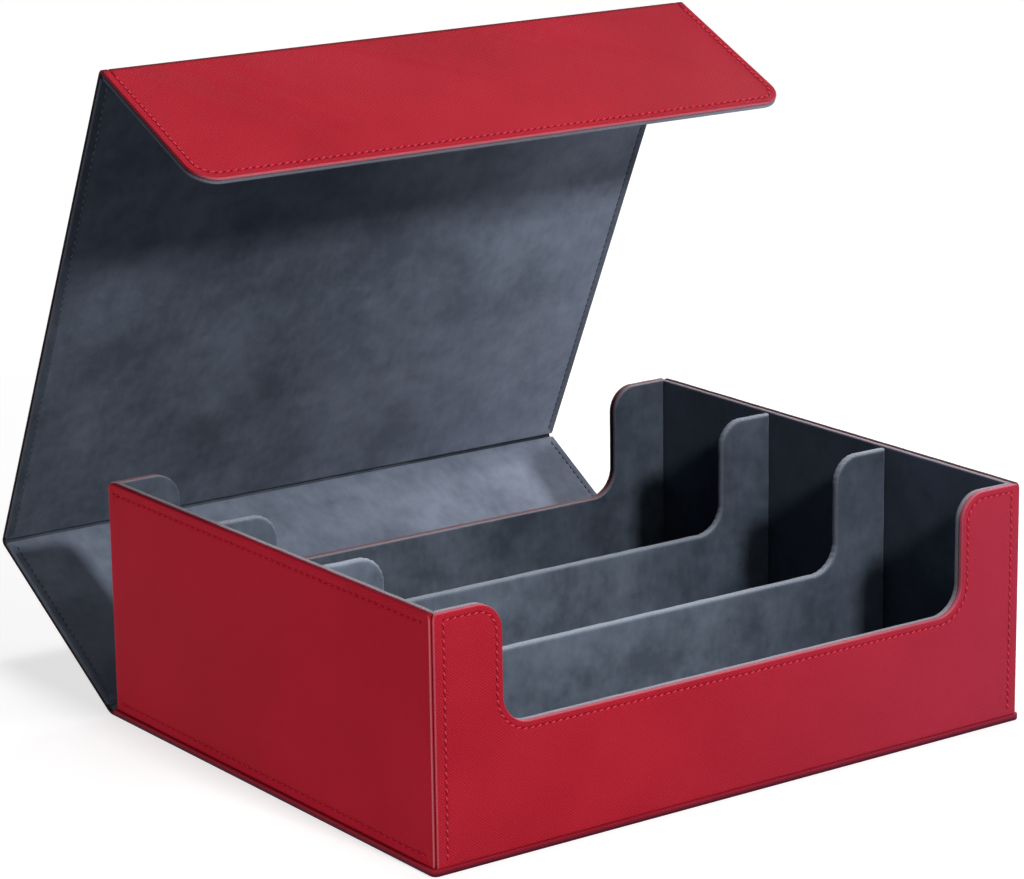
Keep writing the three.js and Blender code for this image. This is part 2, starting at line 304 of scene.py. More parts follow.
class Graph(Nodes):
    """The nodes of one material, round a Principled shader."""

    def __init__(self, name: str) -> None:
        """Starts a material with a shader and its output.

        Args:
            name: The material's name.
        """
        self.material = bpy.data.materials.new(name)
        self.material.use_nodes = True
        super().__init__(self.material.node_tree)
        self.shader = self.add("ShaderNodeBsdfPrincipled")
        self.feed(self.add("ShaderNodeOutputMaterial").inputs[0], self.shader.outputs[0])

    def raise_by(self, height: Socket, distance: float) -> None:
        """Gives the surface a relief.

        Args:
            height: Its height from 0 to 1.
            distance: How high 1 stands, in metres.
        """
        node = self.add("ShaderNodeBump")
        self.sets(node, Height=height, Distance=distance)
        self.sets(self.shader, Normal=node.outputs[0])


@dataclass(frozen=True)
class Leatherette:
    """Red leatherette, embossed with a fine grain of crossed ridges."""

    name: str = "red_leatherette"
    slot: str = "leather"
    low: Colour = (143, 10, 27)
    high: Colour = (198, 44, 62)
    # Painted light: the red that the box's right side takes on, a painted reflection on the walls and base
    # and a painted shade on the flap.
    right: Colour = (166, 58, 82)
    # The edge colour: scuffing on turned edges, with a painted highlight.
    scuff_and_highlight: Colour = (214, 146, 162)
    # Painted shade, for sewing grooves, closed corners, creases and edges in shade.
    painted_shade: Colour = (60, 9, 25)
    contrast: float = 1.0
    change: float = 0.45
    change_from: float = -60.0 * MM
    change_to: float = 170.0 * MM
    ridge_pitch: float = 1.05 * MM
    ridge_turn: float = 52.0
    pore: float = 0.7 * MM
    patch: float = 70.0 * MM
    relief: float = 0.12 * MM

    def material(self) -> Material:
        """Makes the finish: crossed ridges, a slow change of tone, scuffed edges with a painted highlight,
        and painted shade in the sewing grooves and on edges in shade.

        The ridges of the two sets are multiplied, so that the grain stands in points where they cross.
        Towards the right of the box the red changes a little, as a painted reflection on the walls and the
        base, and as a painted shade on the flap.

        Returns:
            The material.
        """
        graph = Graph(self.name)
        place = graph.sheet_place()
        across, along = (
            graph.ridges(place, self.ridge_pitch, turn, 3.0) for turn in (self.ridge_turn, -self.ridge_turn)
        )
        grain = graph.span(graph.maths("MULTIPLY", across, along), 0.0, 0.7, 0.0, 1.0)
        pores = graph.noise(place, self.pore, 3.0, 0.6)
        patches = graph.noise(place, self.patch, 3.0, 0.55)
        relief = graph.weigh((grain, 0.75), (pores, 0.4))
        swing = 0.3 * self.contrast
        speckle = graph.span(relief, 0.1, 0.9, -swing, swing)
        tone = graph.span(graph.weigh((speckle, 1.0), (patches, 0.6)), -0.2, 0.8, 0.0, 1.0)
        colour = graph.blend(tone, linear(self.low), linear(self.high))
        # Painted light: towards the box's right the red shifts to the right-hand colour.
        side = graph.span(graph.place_along("X"), self.change_from, self.change_to, 0.0, self.change)
        colour = graph.blend(side, colour, linear(self.right))
        # Scuffed edges with a painted highlight, from the edge attribute, broken up by the pores.
        scuff_and_highlight_mask = graph.maths("MULTIPLY", graph.attribute("edge"), graph.span(pores, 0.3, 0.7, 0.6, 1.0))
        colour = graph.blend(scuff_and_highlight_mask, colour, linear(self.scuff_and_highlight))
        # Painted shade, from the groove attribute.
        colour = graph.blend(graph.attribute("groove"), colour, linear(self.painted_shade))
        rough = graph.span(relief, 0.2, 1.0, 0.56, 0.42)
        graph.sets(graph.shader, Base_Color=colour, Roughness=rough, Specular_IOR_Level=0.05)
        graph.raise_by(relief, self.relief)
        return graph.material


@dataclass(frozen=True)
class Suede:
    """Slate suede cloth, whose short pile lies in brushed patches.

    Towards the box's right side its tones may change, as painted light and shade, and left of that a painted
    shadow may darken them towards one height.
    """

    name: str = "slate_suede"
    slot: str = "suede"
    low: Colour = (79, 88, 101)
    high: Colour = (118, 128, 144)
    # Painted light and shade: the tones towards the box's right side.
    right_low: Colour = (54, 62, 74)
    right_high: Colour = (85, 94, 108)
    change_from: float = 25.0 * MM
    change_to: float = 110.0 * MM
    # The edge colour: pale pile at edges, with a painted highlight.
    pale_pile_and_highlight: Colour = (172, 180, 192)
    # Painted shade, for pressed grooves, creases and edges in shade.
    painted_shade: Colour = (15, 18, 25)
    # Painted shadow by height: under the flap's shadow on the lid, and towards the floor on the back cover.
    height_shade: Colour = (15, 18, 48)
    height_shade_share: float = 0.0
    height_shade_from: float = 0.0
    height_shade_to: float = 1.0 * MM
    cloud: float = 42.0 * MM
    blotch: float = 13.0 * MM
    stroke: float = 8.0 * MM
    fibre: float = 0.6 * MM
    sheen: float = 0.25
    sheen_tint: Colour = (196, 208, 220)
    relief: float = 0.06 * MM

    def material(self) -> Material:
        """Makes the finish: brushed clouds and strokes of two tones, a fibrous pile, pale pile with a
        painted highlight at edges, and painted light and shade.

        Returns:
            The material.
        """
        graph = Graph(self.name)
        place = graph.sheet_place()
        clouds = graph.noise(place, self.cloud, 4.0, 0.6)
        blotches = graph.noise(graph.stretch(place, (1.0, 1.3, 1.0), 24.0), self.blotch, 3.0, 0.55)
        strokes = graph.noise(graph.stretch(place, (2.2, 1.0, 1.0), -9.0), self.stroke, 2.0, 0.5)
        pile = graph.noise(place, self.fibre, 3.0, 0.7)
        patches = graph.weigh((clouds, 0.58), (blotches, 0.2), (strokes, 0.12), (pile, 0.1))
        tone = graph.span(patches, 0.4, 0.62, 0.0, 1.0)
        colour = graph.blend(tone, linear(self.low), linear(self.high))
        # Painted shadow that grows towards one height.
        if self.height_shade_share:
            height_shade = graph.span(graph.place_along("Z"), self.height_shade_from, self.height_shade_to, 0.0, self.height_shade_share)
            colour = graph.blend(height_shade, colour, linear(self.height_shade))
        # Painted light and shade towards the box's right side.
        side = graph.span(graph.place_along("X"), self.change_from, self.change_to, 0.0, 1.0)
        right = graph.blend(tone, linear(self.right_low), linear(self.right_high))
        colour = graph.blend(side, colour, right)
        # Painted shade, from the groove attribute.
        colour = graph.blend(graph.attribute("groove"), colour, linear(self.painted_shade))
        # Pale pile with a painted highlight at edges, from the edge attribute.
        scuff_and_highlight_mask = graph.maths("MULTIPLY", graph.attribute("edge"), graph.span(pile, 0.35, 0.62, 0.25, 1.0))
        colour = graph.blend(scuff_and_highlight_mask, colour, linear(self.pale_pile_and_highlight))
        graph.sets(graph.shader, Base_Color=colour, Roughness=0.95, Specular_IOR_Level=0.12)
        graph.sets(
            graph.shader, Sheen_Weight=self.sheen, Sheen_Roughness=0.5, Sheen_Tint=linear(self.sheen_tint)
        )
        graph.raise_by(graph.weigh((pile, 0.8), (strokes, 0.6)), self.relief)
        return graph.material


@dataclass(frozen=True)
class Thread:
    """Twisted sewing thread."""

    name: str
    slot: str
    low: Colour
    high: Colour
    twist: float = 0.32 * MM
    relief: float = 0.04 * MM

    def material(self) -> Material:
        """Makes the finish: a twist of fine strands that shows as slanted bands.

        Returns:
            The material.
        """
        graph = Graph(self.name)
        strands = graph.ridges(graph.sheet_place(), self.twist, 38.0, 0.4)
        colour = graph.blend(strands, linear(self.low), linear(self.high))
        graph.sets(graph.shader, Base_Color=colour, Roughness=0.6, Specular_IOR_Level=0.08)
        graph.raise_by(strands, self.relief)
        return graph.material


@dataclass(frozen=True)
class Greyboard:
    """Greyboard, pressed from waste paper."""

    name: str = "greyboard"
    low: Colour = (116, 110, 101)
    high: Colour = (153, 146, 135)
    fleck: float = 1.1 * MM
    cloud: float = 14.0 * MM
    relief: float = 0.05 * MM

    def material(self) -> Material:
        """Makes the finish: flecks of fibre in a dull grey sheet.

        Returns:
            The material.
        """
        graph = Graph(self.name)
        place = graph.solid_place()
        flecks = graph.noise(place, self.fleck, 4.0, 0.7)
        clouds = graph.noise(place, self.cloud, 3.0, 0.5)
        tone = graph.span(graph.weigh((flecks, 0.7), (clouds, 0.3)), 0.35, 0.65, 0.0, 1.0)
        colour = graph.blend(tone, linear(self.low), linear(self.high))
        graph.sets(graph.shader, Base_Color=colour, Roughness=0.9)
        graph.raise_by(flecks, self.relief)
        return graph.material


@dataclass(frozen=True)
class MagnetPlate:
    """The brushed nickel plate of a magnet."""

    name: str = "magnet_plate"
    low: Colour = (168, 170, 173)
    high: Colour = (205, 206, 208)
    scratch: float = 2.0 * MM
    relief: float = 0.01 * MM

    def material(self) -> Material:
        """Makes the finish: fine brushing that runs one way.

        Returns:
            The material.
        """
        graph = Graph(self.name)
        place = graph.stretch(graph.solid_place(), (1.0, 14.0, 14.0))
        brushing = graph.noise(place, self.scratch, 3.0, 0.6)
        colour = graph.blend(brushing, linear(self.low), linear(self.high))
        rough = graph.span(brushing, 0.3, 0.7, 0.25, 0.4)
        graph.sets(graph.shader, Base_Color=colour, Roughness=rough, Metallic=1.0)
        graph.raise_by(brushing, self.relief)
        return graph.material


class Finish(Enum):
    """The finishes of the box. The suede's copies differ in tone, as painted light and shade for where they
    lie.
    """

    FRONT_WALL = Leatherette()
    # The rear wall's leatherette: a greyer painted highlight on its level edges, and nearly black painted
    # shade in its grooves and on its upright edges.
    REAR_WALL = Leatherette(name="red_leatherette_of_rear_wall", scuff_and_highlight=(176, 158, 162), painted_shade=(20, 8, 13))
    # The side walls' leatherette: a fainter grain, a pale painted highlight on the corner's round, and dark
    # painted shade on the rims and in the grooves.
    SIDE_WALL = Leatherette(
        name="red_leatherette_pressed_flat", low=(144, 3, 24), high=(190, 23, 48), scuff_and_highlight=(188, 166, 166),
        painted_shade=(44, 12, 22), contrast=0.4, change=0.0, relief=0.05 * MM,
    )
    # The base's leatherette: its edges and grooves take a purple painted shade.
    BASE = Leatherette(name="red_leatherette_of_base", painted_shade=(62, 20, 38))
    # The covers' leatherette: nearly black painted shade on its edges and in its grooves.
    COVER = Leatherette(
        name="red_leatherette_of_covers", painted_shade=(24, 12, 17), contrast=1.5, change=0.0, relief=0.16 * MM
    )
    # The flap's leatherette: it darkens towards its right end, a painted shade.
    FLAP = Leatherette(
        name="red_leatherette_of_flap", right=(146, 11, 38), contrast=1.5, change_from=60.0 * MM,
        relief=0.16 * MM,
    )
    # The suede of the dividers and the rows, darker towards the box's right as painted shade.
    EVEN = Suede()
    # A darker copy of the suede, as painted shade, for the walls with the cut-out and the folds.
    DARKER_SUEDE = Suede(
        name="slate_suede_handled", low=(68, 76, 88), high=(103, 112, 126),
        right_low=(50, 57, 68), right_high=(79, 87, 100), pale_pile_and_highlight=(188, 172, 181),
    )
    # A copy darker still, as painted shade, for the side walls' linings.
    DARKEST_SUEDE = Suede(
        name="slate_suede_brushed_away", low=(33, 41, 57), high=(53, 64, 83),
        right_low=(33, 41, 57), right_high=(53, 64, 83), pale_pile_and_highlight=(190, 166, 172),
    )
    # A brighter copy, as painted light, for the back cover, with a painted shadow towards the floor.
    UP = Suede(
        name="slate_suede_brushed_up", low=(109, 118, 134), high=(142, 152, 170),
        right_low=(112, 120, 136), right_high=(145, 154, 172),
        height_shade_share=0.65, height_shade_from=48.0 * MM, height_shade_to=8.0 * MM,
    )
    # The lid's suede: painted shade on the left, painted light on the right, and a painted shadow high up
    # under the flap.
    LID_SUEDE = Suede(
        name="slate_suede_swept", low=(57, 64, 76), high=(88, 96, 110), pale_pile_and_highlight=(164, 158, 170),
        right_low=(104, 113, 130), right_high=(134, 144, 163), change_from=-20.0 * MM, change_to=150.0 * MM,
        height_shade_share=0.45, height_shade_from=180.0 * MM, height_shade_to=215.0 * MM,
    )
    RED_THREAD = Thread("red_thread", "leather", low=(198, 28, 50), high=(240, 72, 94))
    # A darker copy of the red thread, as painted shade, for the side walls.
    SHADED_RED_THREAD = Thread("deep_red_thread", "leather", low=(170, 8, 32), high=(214, 34, 58))
    SLATE_THREAD = Thread("slate_thread", "suede", low=(52, 59, 71), high=(84, 92, 106))
    BOARD = Greyboard()
    MAGNET = MagnetPlate()


@dataclass(frozen=True)
class Workshop:
    """Where the pieces are made, with the materials made so far."""

    made: dict[Finish, Material] = field(default_factory=dict)

    def material(self, finish: Finish) -> Material:
        """Gives a finish's material, which is made once.

        Args:
            finish: The finish.

        Returns:
            Its material.
        """
        if finish not in self.made:
            self.made[finish] = finish.value.material()
        return self.made[finish]

    def add_piece(self, mesh: Mesh, finish: Finish, node: str = "", body: str = "") -> bpy.types.Object:
        """Makes a piece of the box from its mesh, and names it after the mesh.

        Args:
            mesh: Its mesh, already in place.
            finish: Its finish.
            node: The plain CAD solid that it stands for, if any.
            body: The body that it rides on, or none where it bends between two.

        Returns:
            The piece.
        """
        piece = bpy.data.objects.new(mesh.name, mesh)
        bpy.context.scene.collection.objects.link(piece)
        mesh.materials.append(self.material(finish))
        if node:
            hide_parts(node)
        if body:
            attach(piece, body)
        log.info("%s: %d faces, finished in %s", piece.name, len(mesh.polygons), finish.value.name)
        return piece


def closed_faces(points: Array) -> tuple[Array, Array]:
    """Lists the faces of a closed surface: squares between neighbouring rings, then the two end faces.

    Args:
        points: The rings' points, as rings by points by X, Y and Z.

    Returns:
        The faces' corners in one line, and each face's count. The faces are turned round where the volume
        that they enclose would come out negative.
    """
    rings, around = points.shape[:2]
    ring = np.arange(rings - 1)[:, None] * around
    near = np.arange(around)[None, :]
    after = (near + 1) % around
    squares = np.stack([ring + near, ring + around + near, ring + around + after, ring + after], axis=-1)
    squares = squares.reshape(-1, 4)
    first = np.arange(around)
    last = np.arange(rings * around - 1, (rings - 1) * around - 1, -1)
    fans = [np.stack([np.full(around - 2, cap[0]), cap[1:-1], cap[2:]], axis=-1) for cap in (first, last)]
    triangles = np.concatenate([squares[:, [0, 1, 2]], squares[:, [0, 2, 3]], *fans])
    a, b, c = (points.reshape(-1, 3)[triangles[:, corner]] for corner in range(3))
    if np.einsum("ij,ij->", a, np.cross(b, c)) < 0.0:
        squares = squares[:, ::-1]
        first, last = first[::-1], last[::-1]
    corners = np.concatenate([squares.ravel(), first, last])
    return corners, np.concatenate([np.full(len(squares), 4), [around, around]])


def fill_mesh(
    name: str, points: Array, corners: Array, counts: Array, sheet: Array, place: Matrix
) -> Mesh:
    """Fills a mesh with smooth faces, and puts it in its place.

    Args:
        name: The mesh's name.
        points: Its points, with X, Y and Z last.
        corners: The faces' corners in one line.
        counts: Each face's count of corners.
        sheet: Each point's place on the flat sheet.
        place: Where the mesh stands in the box.

    Returns:
        The mesh, with the sheet as its UV map.
    """
    turn = np.array(place)
    world = points.reshape(-1, 3) @ turn[:3, :3].T + turn[:3, 3]
    starts = np.concatenate([[0], np.cumsum(counts)[:-1]])
    mesh = bpy.data.meshes.new(name)
    mesh.vertices.add(len(world))
    mesh.vertices.foreach_set("co", world.ravel())
    mesh.loops.add(len(corners))
    mesh.loops.foreach_set("vertex_index", corners.astype(np.int32))
    mesh.polygons.add(len(counts))
    mesh.polygons.foreach_set("loop_start", starts.astype(np.int32))
    mesh.polygons.foreach_set("loop_total", counts.astype(np.int32))
    mesh.update(calc_edges=True)
    mesh.polygons.foreach_set("use_smooth", np.ones(len(counts), dtype=bool))
    mesh.uv_layers.new(name="sheet").data.foreach_set("uv", sheet.reshape(-1, 2)[corners].ravel())
    return mesh


@dataclass(frozen=True)
class Surface:
    """A closed surface: rings of matching points, with a flat face over the first and the last ring.

    Attributes:
        points: Each ring's points, as rings by points by X, Y and Z.
        sheet: Each point's place on the flat sheet, as rings by points by two.
        edge: How far each point takes the scuffed colour with its painted highlight, from 0 to 1.
        groove: How far painted shade darkens each point, in sewing grooves, closed corners, creases and
            edges in shade, from 0 to 1.
        crisp_angle: The least angle between faces, in degrees, that shows as a sharp edge.
    """

    points: Array
    sheet: Array
    edge: Array
    groove: Array
    crisp_angle: float = 42.0

    def mesh(self, name: str, place: Matrix) -> Mesh:
        """Puts the surface into a mesh, with its place, its sheet map and its numbers at each point.

        Args:
            name: The mesh's name.
            place: Where the surface stands in the box.

        Returns:
            The mesh.
        """
        mesh = fill_mesh(name, self.points, *closed_faces(self.points), self.sheet, place)
        mesh.set_sharp_from_angle(angle=math.radians(self.crisp_angle))
        # The edge attribute carries the scuffed colour with its painted highlight, and the groove attribute
        # the painted shade.
        for title, numbers in (("edge", self.edge), ("groove", self.groove)):
            mesh.attributes.new(title, "FLOAT", "POINT").data.foreach_set("value", numbers.ravel())
        return mesh


@dataclass(frozen=True)
class SheetGoods:
    """Thicknesses and gaps of the covering, as the boards in the frame leave room for."""

    leather: float = 0.7 * MM
    suede: float = 0.7 * MM
    glue: float = 0.3 * MM
    seam: float = 0.3 * MM


@dataclass(frozen=True)
class Stitching:
    """A row of slanted stitches, set in a groove beside an edge."""

    inset: float = 3.8 * MM
    inset_at_corner: float = 6.2 * MM
    pitch: float = 3.7 * MM
    length: float = 2.8 * MM
    radius: float = 0.42 * MM
    slant: float = 15.0
    narrowing: float = 0.75
    hole_depth: float = 0.35 * MM
    groove_half_width: float = 0.85 * MM
    groove_depth: float = 0.35 * MM
    # Painted shade: how dark the groove is made, from 0 to 1.
    groove_dark: float = 1.0
    steps_along: int = 7
    steps_around: int = 6

    def places(self, path: Array) -> tuple[Array, Array]:
        """Spaces stitches evenly along a path.

        Args:
            path: The path's points, as points by two.

        Returns:
            Each stitch's middle, and the unit direction of the path there.
        """
        gone = gone_along(path)
        count = max(int(gone[-1] / self.pitch), 1)
        at = (np.arange(count) + 0.5) * gone[-1] / count
        step = self.length / 4.0
        middle, ahead, behind = (
            np.stack([np.interp(where, gone, path[:, axis]) for axis in range(2)], axis=-1)
            for where in (at, at + step, at - step)
        )
        heading = ahead - behind
        return middle, heading / np.linalg.norm(heading, axis=1, keepdims=True)

    def stitches(self, paths: list[Array], face: float, outward: float) -> tuple[Array, Array]:
        """Sews along paths: each stitch leaves one hole, arches over and goes down the next.

        A stitch is a grid of a step along it by a step round it. Its middle line leans across the path by
        the slant, its height falls with the fourth power of the share along it, and its section is a circle
        that narrows towards both holes with the fourth power of that share.

        Args:
            paths: Lines of points on the panel, each as points by X and height.
            face: The depth of the face that is sewn.
            outward: -1 where the face looks towards less depth, and 1 where it looks towards more.

        Returns:
            The points and their places on the thread, both as stitches by steps along by steps round.
        """
        middles, headings = zip(*(self.places(path) for path in paths))
        middle = np.concatenate(middles)[:, None, None, :]
        ahead = np.concatenate(headings)
        lean = math.radians(self.slant)
        beside = np.stack([-ahead[:, 1], ahead[:, 0]], axis=-1)
        line = (math.cos(lean) * ahead + math.sin(lean) * beside)[:, None, None, :]
        cross = np.stack([-line[..., 1], line[..., 0]], axis=-1)
        share = np.linspace(-1.0, 1.0, self.steps_along)[None, :, None]
        turn = np.linspace(0.0, math.tau, self.steps_around, endpoint=False)[None, None, :]
        girth = self.radius * (1.0 - self.narrowing * share**4)
        height = self.radius - self.groove_depth - (self.radius + self.hole_depth) * share**4
        flat = middle + line * (share * self.length / 2.0)[..., None]
        flat = flat + cross * (girth * np.cos(turn))[..., None]
        grid = flat.shape[:3]
        depth = np.broadcast_to(face + outward * (height + girth * np.sin(turn)), grid)
        along = np.broadcast_to(share * self.length / 2.0, grid)
        around = np.broadcast_to(self.radius * turn, grid)
        return np.stack([flat[..., 0], depth, flat[..., 1]], axis=-1), np.stack([along, around], axis=-1)

    def mesh(self, name: str, paths: list[Array], face: float, outward: float, place: Matrix) -> Mesh:
        """Makes all the stitches of a panel as one mesh.

        Args:
            name: The mesh's name.
            paths: Lines of points on the panel.
            face: The depth of the face that is sewn.
            outward: -1 or 1, the side that the face looks to.
            place: Where the panel stands in the box.

        Returns:
            The mesh.
        """
        points, thread = self.stitches(paths, face, outward)
        corners, counts = closed_faces(points[0])
        first = np.arange(len(points))[:, None] * (self.steps_along * self.steps_around)
        return fill_mesh(
            name, points, (first + corners[None, :]).ravel(), np.tile(counts, len(points)), thread, place
        )


@dataclass(frozen=True)
class EdgeScuffAndLight:
    """How far turned edges take a scuffed colour with a painted highlight, and how far painted shade darkens
    them, from 0 to 1, where they run level and where upright.
    """

    level_scuff_and_highlight: float = 0.0
    upright_scuff_and_highlight: float = 0.0
    level_dark: float = 0.0
    upright_dark: float = 0.0
    corner_scuff_and_highlight: float = 0.0
    corner_dark: float = 0.35


@dataclass(frozen=True)
class Turning:
    """How one sheet runs from its face over an edge: over a round, down as a lip, and back behind itself.

    Attributes:
        thickness: The sheet's thickness.
        radius: The round of the edge.
        lip: How far behind the face the turned lip ends.
        edge_scuff_and_light: How scuffed the turned edges look with their painted highlight, and how dark
            with painted shade.
        stitching: The stitches whose groove the face has, if any.
        sewn_ends: Whether the groove runs beside the mitred ends too.
        mitre: The inset of a mitred end at the face, or None where the panel has no such end.
        mitre_slope: How fast that end draws in with depth: 1 on the outer face, -1 on the inner one.
        mitre_radius: The round where the face meets the mitred end.
        band_dark: How dark the painted shade is on the band between the stitches and the edge, from 0 to 1.
        turn_in: How far the lip runs on over the board's far face, or zero where it ends on the edge.
        skived: How thin the sheet is pared there.
        glued_deeper: How much further the lip reaches at an edge that isn't sewn.
        lip_near: How near to the edge the lip counts, from 0 to 1, for its scuffed colour with painted
            highlight and for its painted shade.
        dark_reach: How much further in from the edge the painted shade reaches than the scuffed colour.
        scuffed_round_share: The part of the round that takes the scuffed colour with its painted highlight.
    """

    thickness: float
    radius: float
    lip: float
    edge_scuff_and_light: EdgeScuffAndLight
    stitching: Stitching | None = None
    sewn_ends: bool = False
    mitre: float | None = None
    mitre_slope: float = 1.0
    mitre_radius: float = 0.4 * MM
    band_dark: float = 0.0
    turn_in: float = 0.0
    skived: float = 0.2 * MM
    glued_deeper: float = 0.0
    lip_near: float = 1.0
    dark_reach: float = 1.6
    scuffed_round_share: float = 0.5
    round_steps: int = 7
    groove_steps: int = 7
    flat_margin: float = 0.8 * MM
    lip_round: float = 0.42 * MM

    def groove(self) -> Array:
        """Gives the groove's rows: place across it from -1 to 1, or none where the sheet isn't sewn."""
        return np.linspace(-1.0, 1.0, self.groove_steps) if self.stitching else np.zeros(0)

    def parts(self, rows: Array) -> tuple[Array, Array, Array]:
        """Splits rows into those on the face, those over the round, and those of the lip and behind it."""
        face = 1 + len(self.groove())
        return rows[:face], rows[face : face + self.round_steps], rows[face + self.round_steps :]

    def turned(self) -> Array:
        """Gives the rows over a turned edge.

        The groove's depth is the square of a cosine across it, and the edge and the lip's end are quarter
        circles.

        Returns:
            The rows, each an inset from the edge and a depth behind the face.
        """
        across = self.groove()
        start = self.radius + self.flat_margin
        sewn = np.zeros((0, 2))
        if self.stitching:
            half = self.stitching.groove_half_width
            start = self.stitching.inset + half + self.flat_margin
            dip = self.stitching.groove_depth * np.cos(across * math.pi / 2.0) ** 2
            sewn = np.stack([self.stitching.inset - across * half, dip], axis=-1)
        small = self.lip_round
        pared = self.lip - self.skived
        turned_in = [[self.turn_in, self.lip], [self.turn_in, pared], [self.thickness, pared]]
        ends = np.array([
            [0.0, self.lip - small],
            [small * 0.3, self.lip - small * 0.3],
            [small, self.lip],
            *(turned_in if self.turn_in else [[self.thickness, self.lip]]),
            [self.thickness, self.thickness],
        ])
        return np.concatenate([[[start, 0.0]], sewn, quarter_round(self.radius, self.round_steps), ends])

    def mitred(self) -> Array:
        """Gives the rows over a mitred end, which match those of a turned edge one by one.

        Past the groove the rows follow the circle that touches both the face and the mitre's plane, and
        then the plane itself, whose inset grows with depth by the slope.

        Returns:
            The rows, each an inset from the end and a depth behind the face.
        """
        rows = self.turned()
        if self.mitre is None:
            return rows
        arc = math.radians(90.0 + 45.0 * self.mitre_slope)
        touch = self.mitre + self.mitre_radius * math.tan(arc / 2.0)
        turn = np.linspace(0.0, arc, self.round_steps)
        over = np.stack(
            [touch - self.mitre_radius * np.sin(turn), self.mitre_radius * (1.0 - np.cos(turn))], axis=-1
        )
        shift = self.stitching.inset_at_corner - self.stitching.inset if self.stitching else touch
        face, _, ends = (part.copy() for part in self.parts(rows))
        face[:, 0] += shift
        if not self.sewn_ends:
            face[:, 1] = 0.0
        ends[:, 0] = self.mitre + self.mitre_slope * ends[:, 1]
        ends[3:, 0] += self.thickness * math.sqrt(2.0)
        return np.concatenate([face, over, ends])

    def glued(self) -> Array:
        """Gives the rows over a turned edge that isn't sewn.

        Returns:
            The rows, which match those of a sewn edge one by one.
        """
        face, over, ends = self.parts(self.turned())
        ends[:-1, 1] += self.glued_deeper
        return np.concatenate([face * np.array([1.0, 0.0]), over, ends])

    def folding(self) -> Array:
        """Gives the rows at an end that runs on into a fold: no inset, and no deeper than the sheet."""
        rows = self.glued()
        return np.stack([np.zeros(len(rows)), np.minimum(rows[:, 1], self.thickness)], axis=-1)

    def nearness(self) -> Array:
        """Gives how near each row is to the turned edge, which is the same down the whole lip.

        Returns:
            The nearness of each row, from 0 to 1.
        """
        rows = self.turned()
        near = smooth_step(1.0 - rows[:, 0] / (self.scuffed_round_share * self.radius))
        _, _, ends = self.parts(near)
        ends[:-2] = self.lip_near
        ends[-2:] = 0.0
        return near

    def darkness(self) -> Array:
        """Gives how far the edge's painted shade covers each row, from 0 to 1."""
        return np.minimum(self.dark_reach * self.nearness(), 1.0)

    def by_part(self, *numbers: object) -> Array:
        """Gives each row a number, from those for the face, those for the round and those for the lip."""
        parts = self.parts(np.ones(len(self.turned())))
        return np.concatenate([part * number for part, number in zip(parts, numbers)])

    def shut(self) -> Array:
        """Gives how far each row of a mitred end lies in the closed corner, from 0 to 1."""
        # The closed corner of a mitre takes painted shade.
        return self.by_part(0.0, smooth_step(np.linspace(-0.3, 1.3, self.round_steps)), 1.0)

    def brim(self) -> Array:
        """Gives how near each row of a mitred end is to the brim of the closed corner, from 0 to 1."""
        # The brim of a mitred corner takes the scuffed colour with a painted highlight.
        over = np.clip(np.linspace(0.0, 1.6, self.round_steps), 0.0, 1.0)
        return self.by_part(0.0, np.sin(over * math.pi) ** 2, 0.0)

    def painted_shade(self) -> Array:
        """Gives how dark each row is with painted shade, in the groove and in the band outside it.

        Returns:
            The dark of each row, from 0 to 1.
        """
        if not self.stitching:
            return self.by_part(0.0, 0.0, 0.0)
        across = self.groove()
        in_groove = self.stitching.groove_dark * np.cos(across * math.pi / 2.0) ** 2
        in_groove = np.where(across > 0.0, np.maximum(in_groove, self.band_dark), in_groove)
        return self.by_part(np.concatenate([[0.0], in_groove]), self.band_dark, self.band_dark)


@dataclass(frozen=True)
class Corner:
    """A square corner of an outline, its radius, and what the edge that leaves it does."""

    x: float
    height: float
    radius: float
    edge: Edge


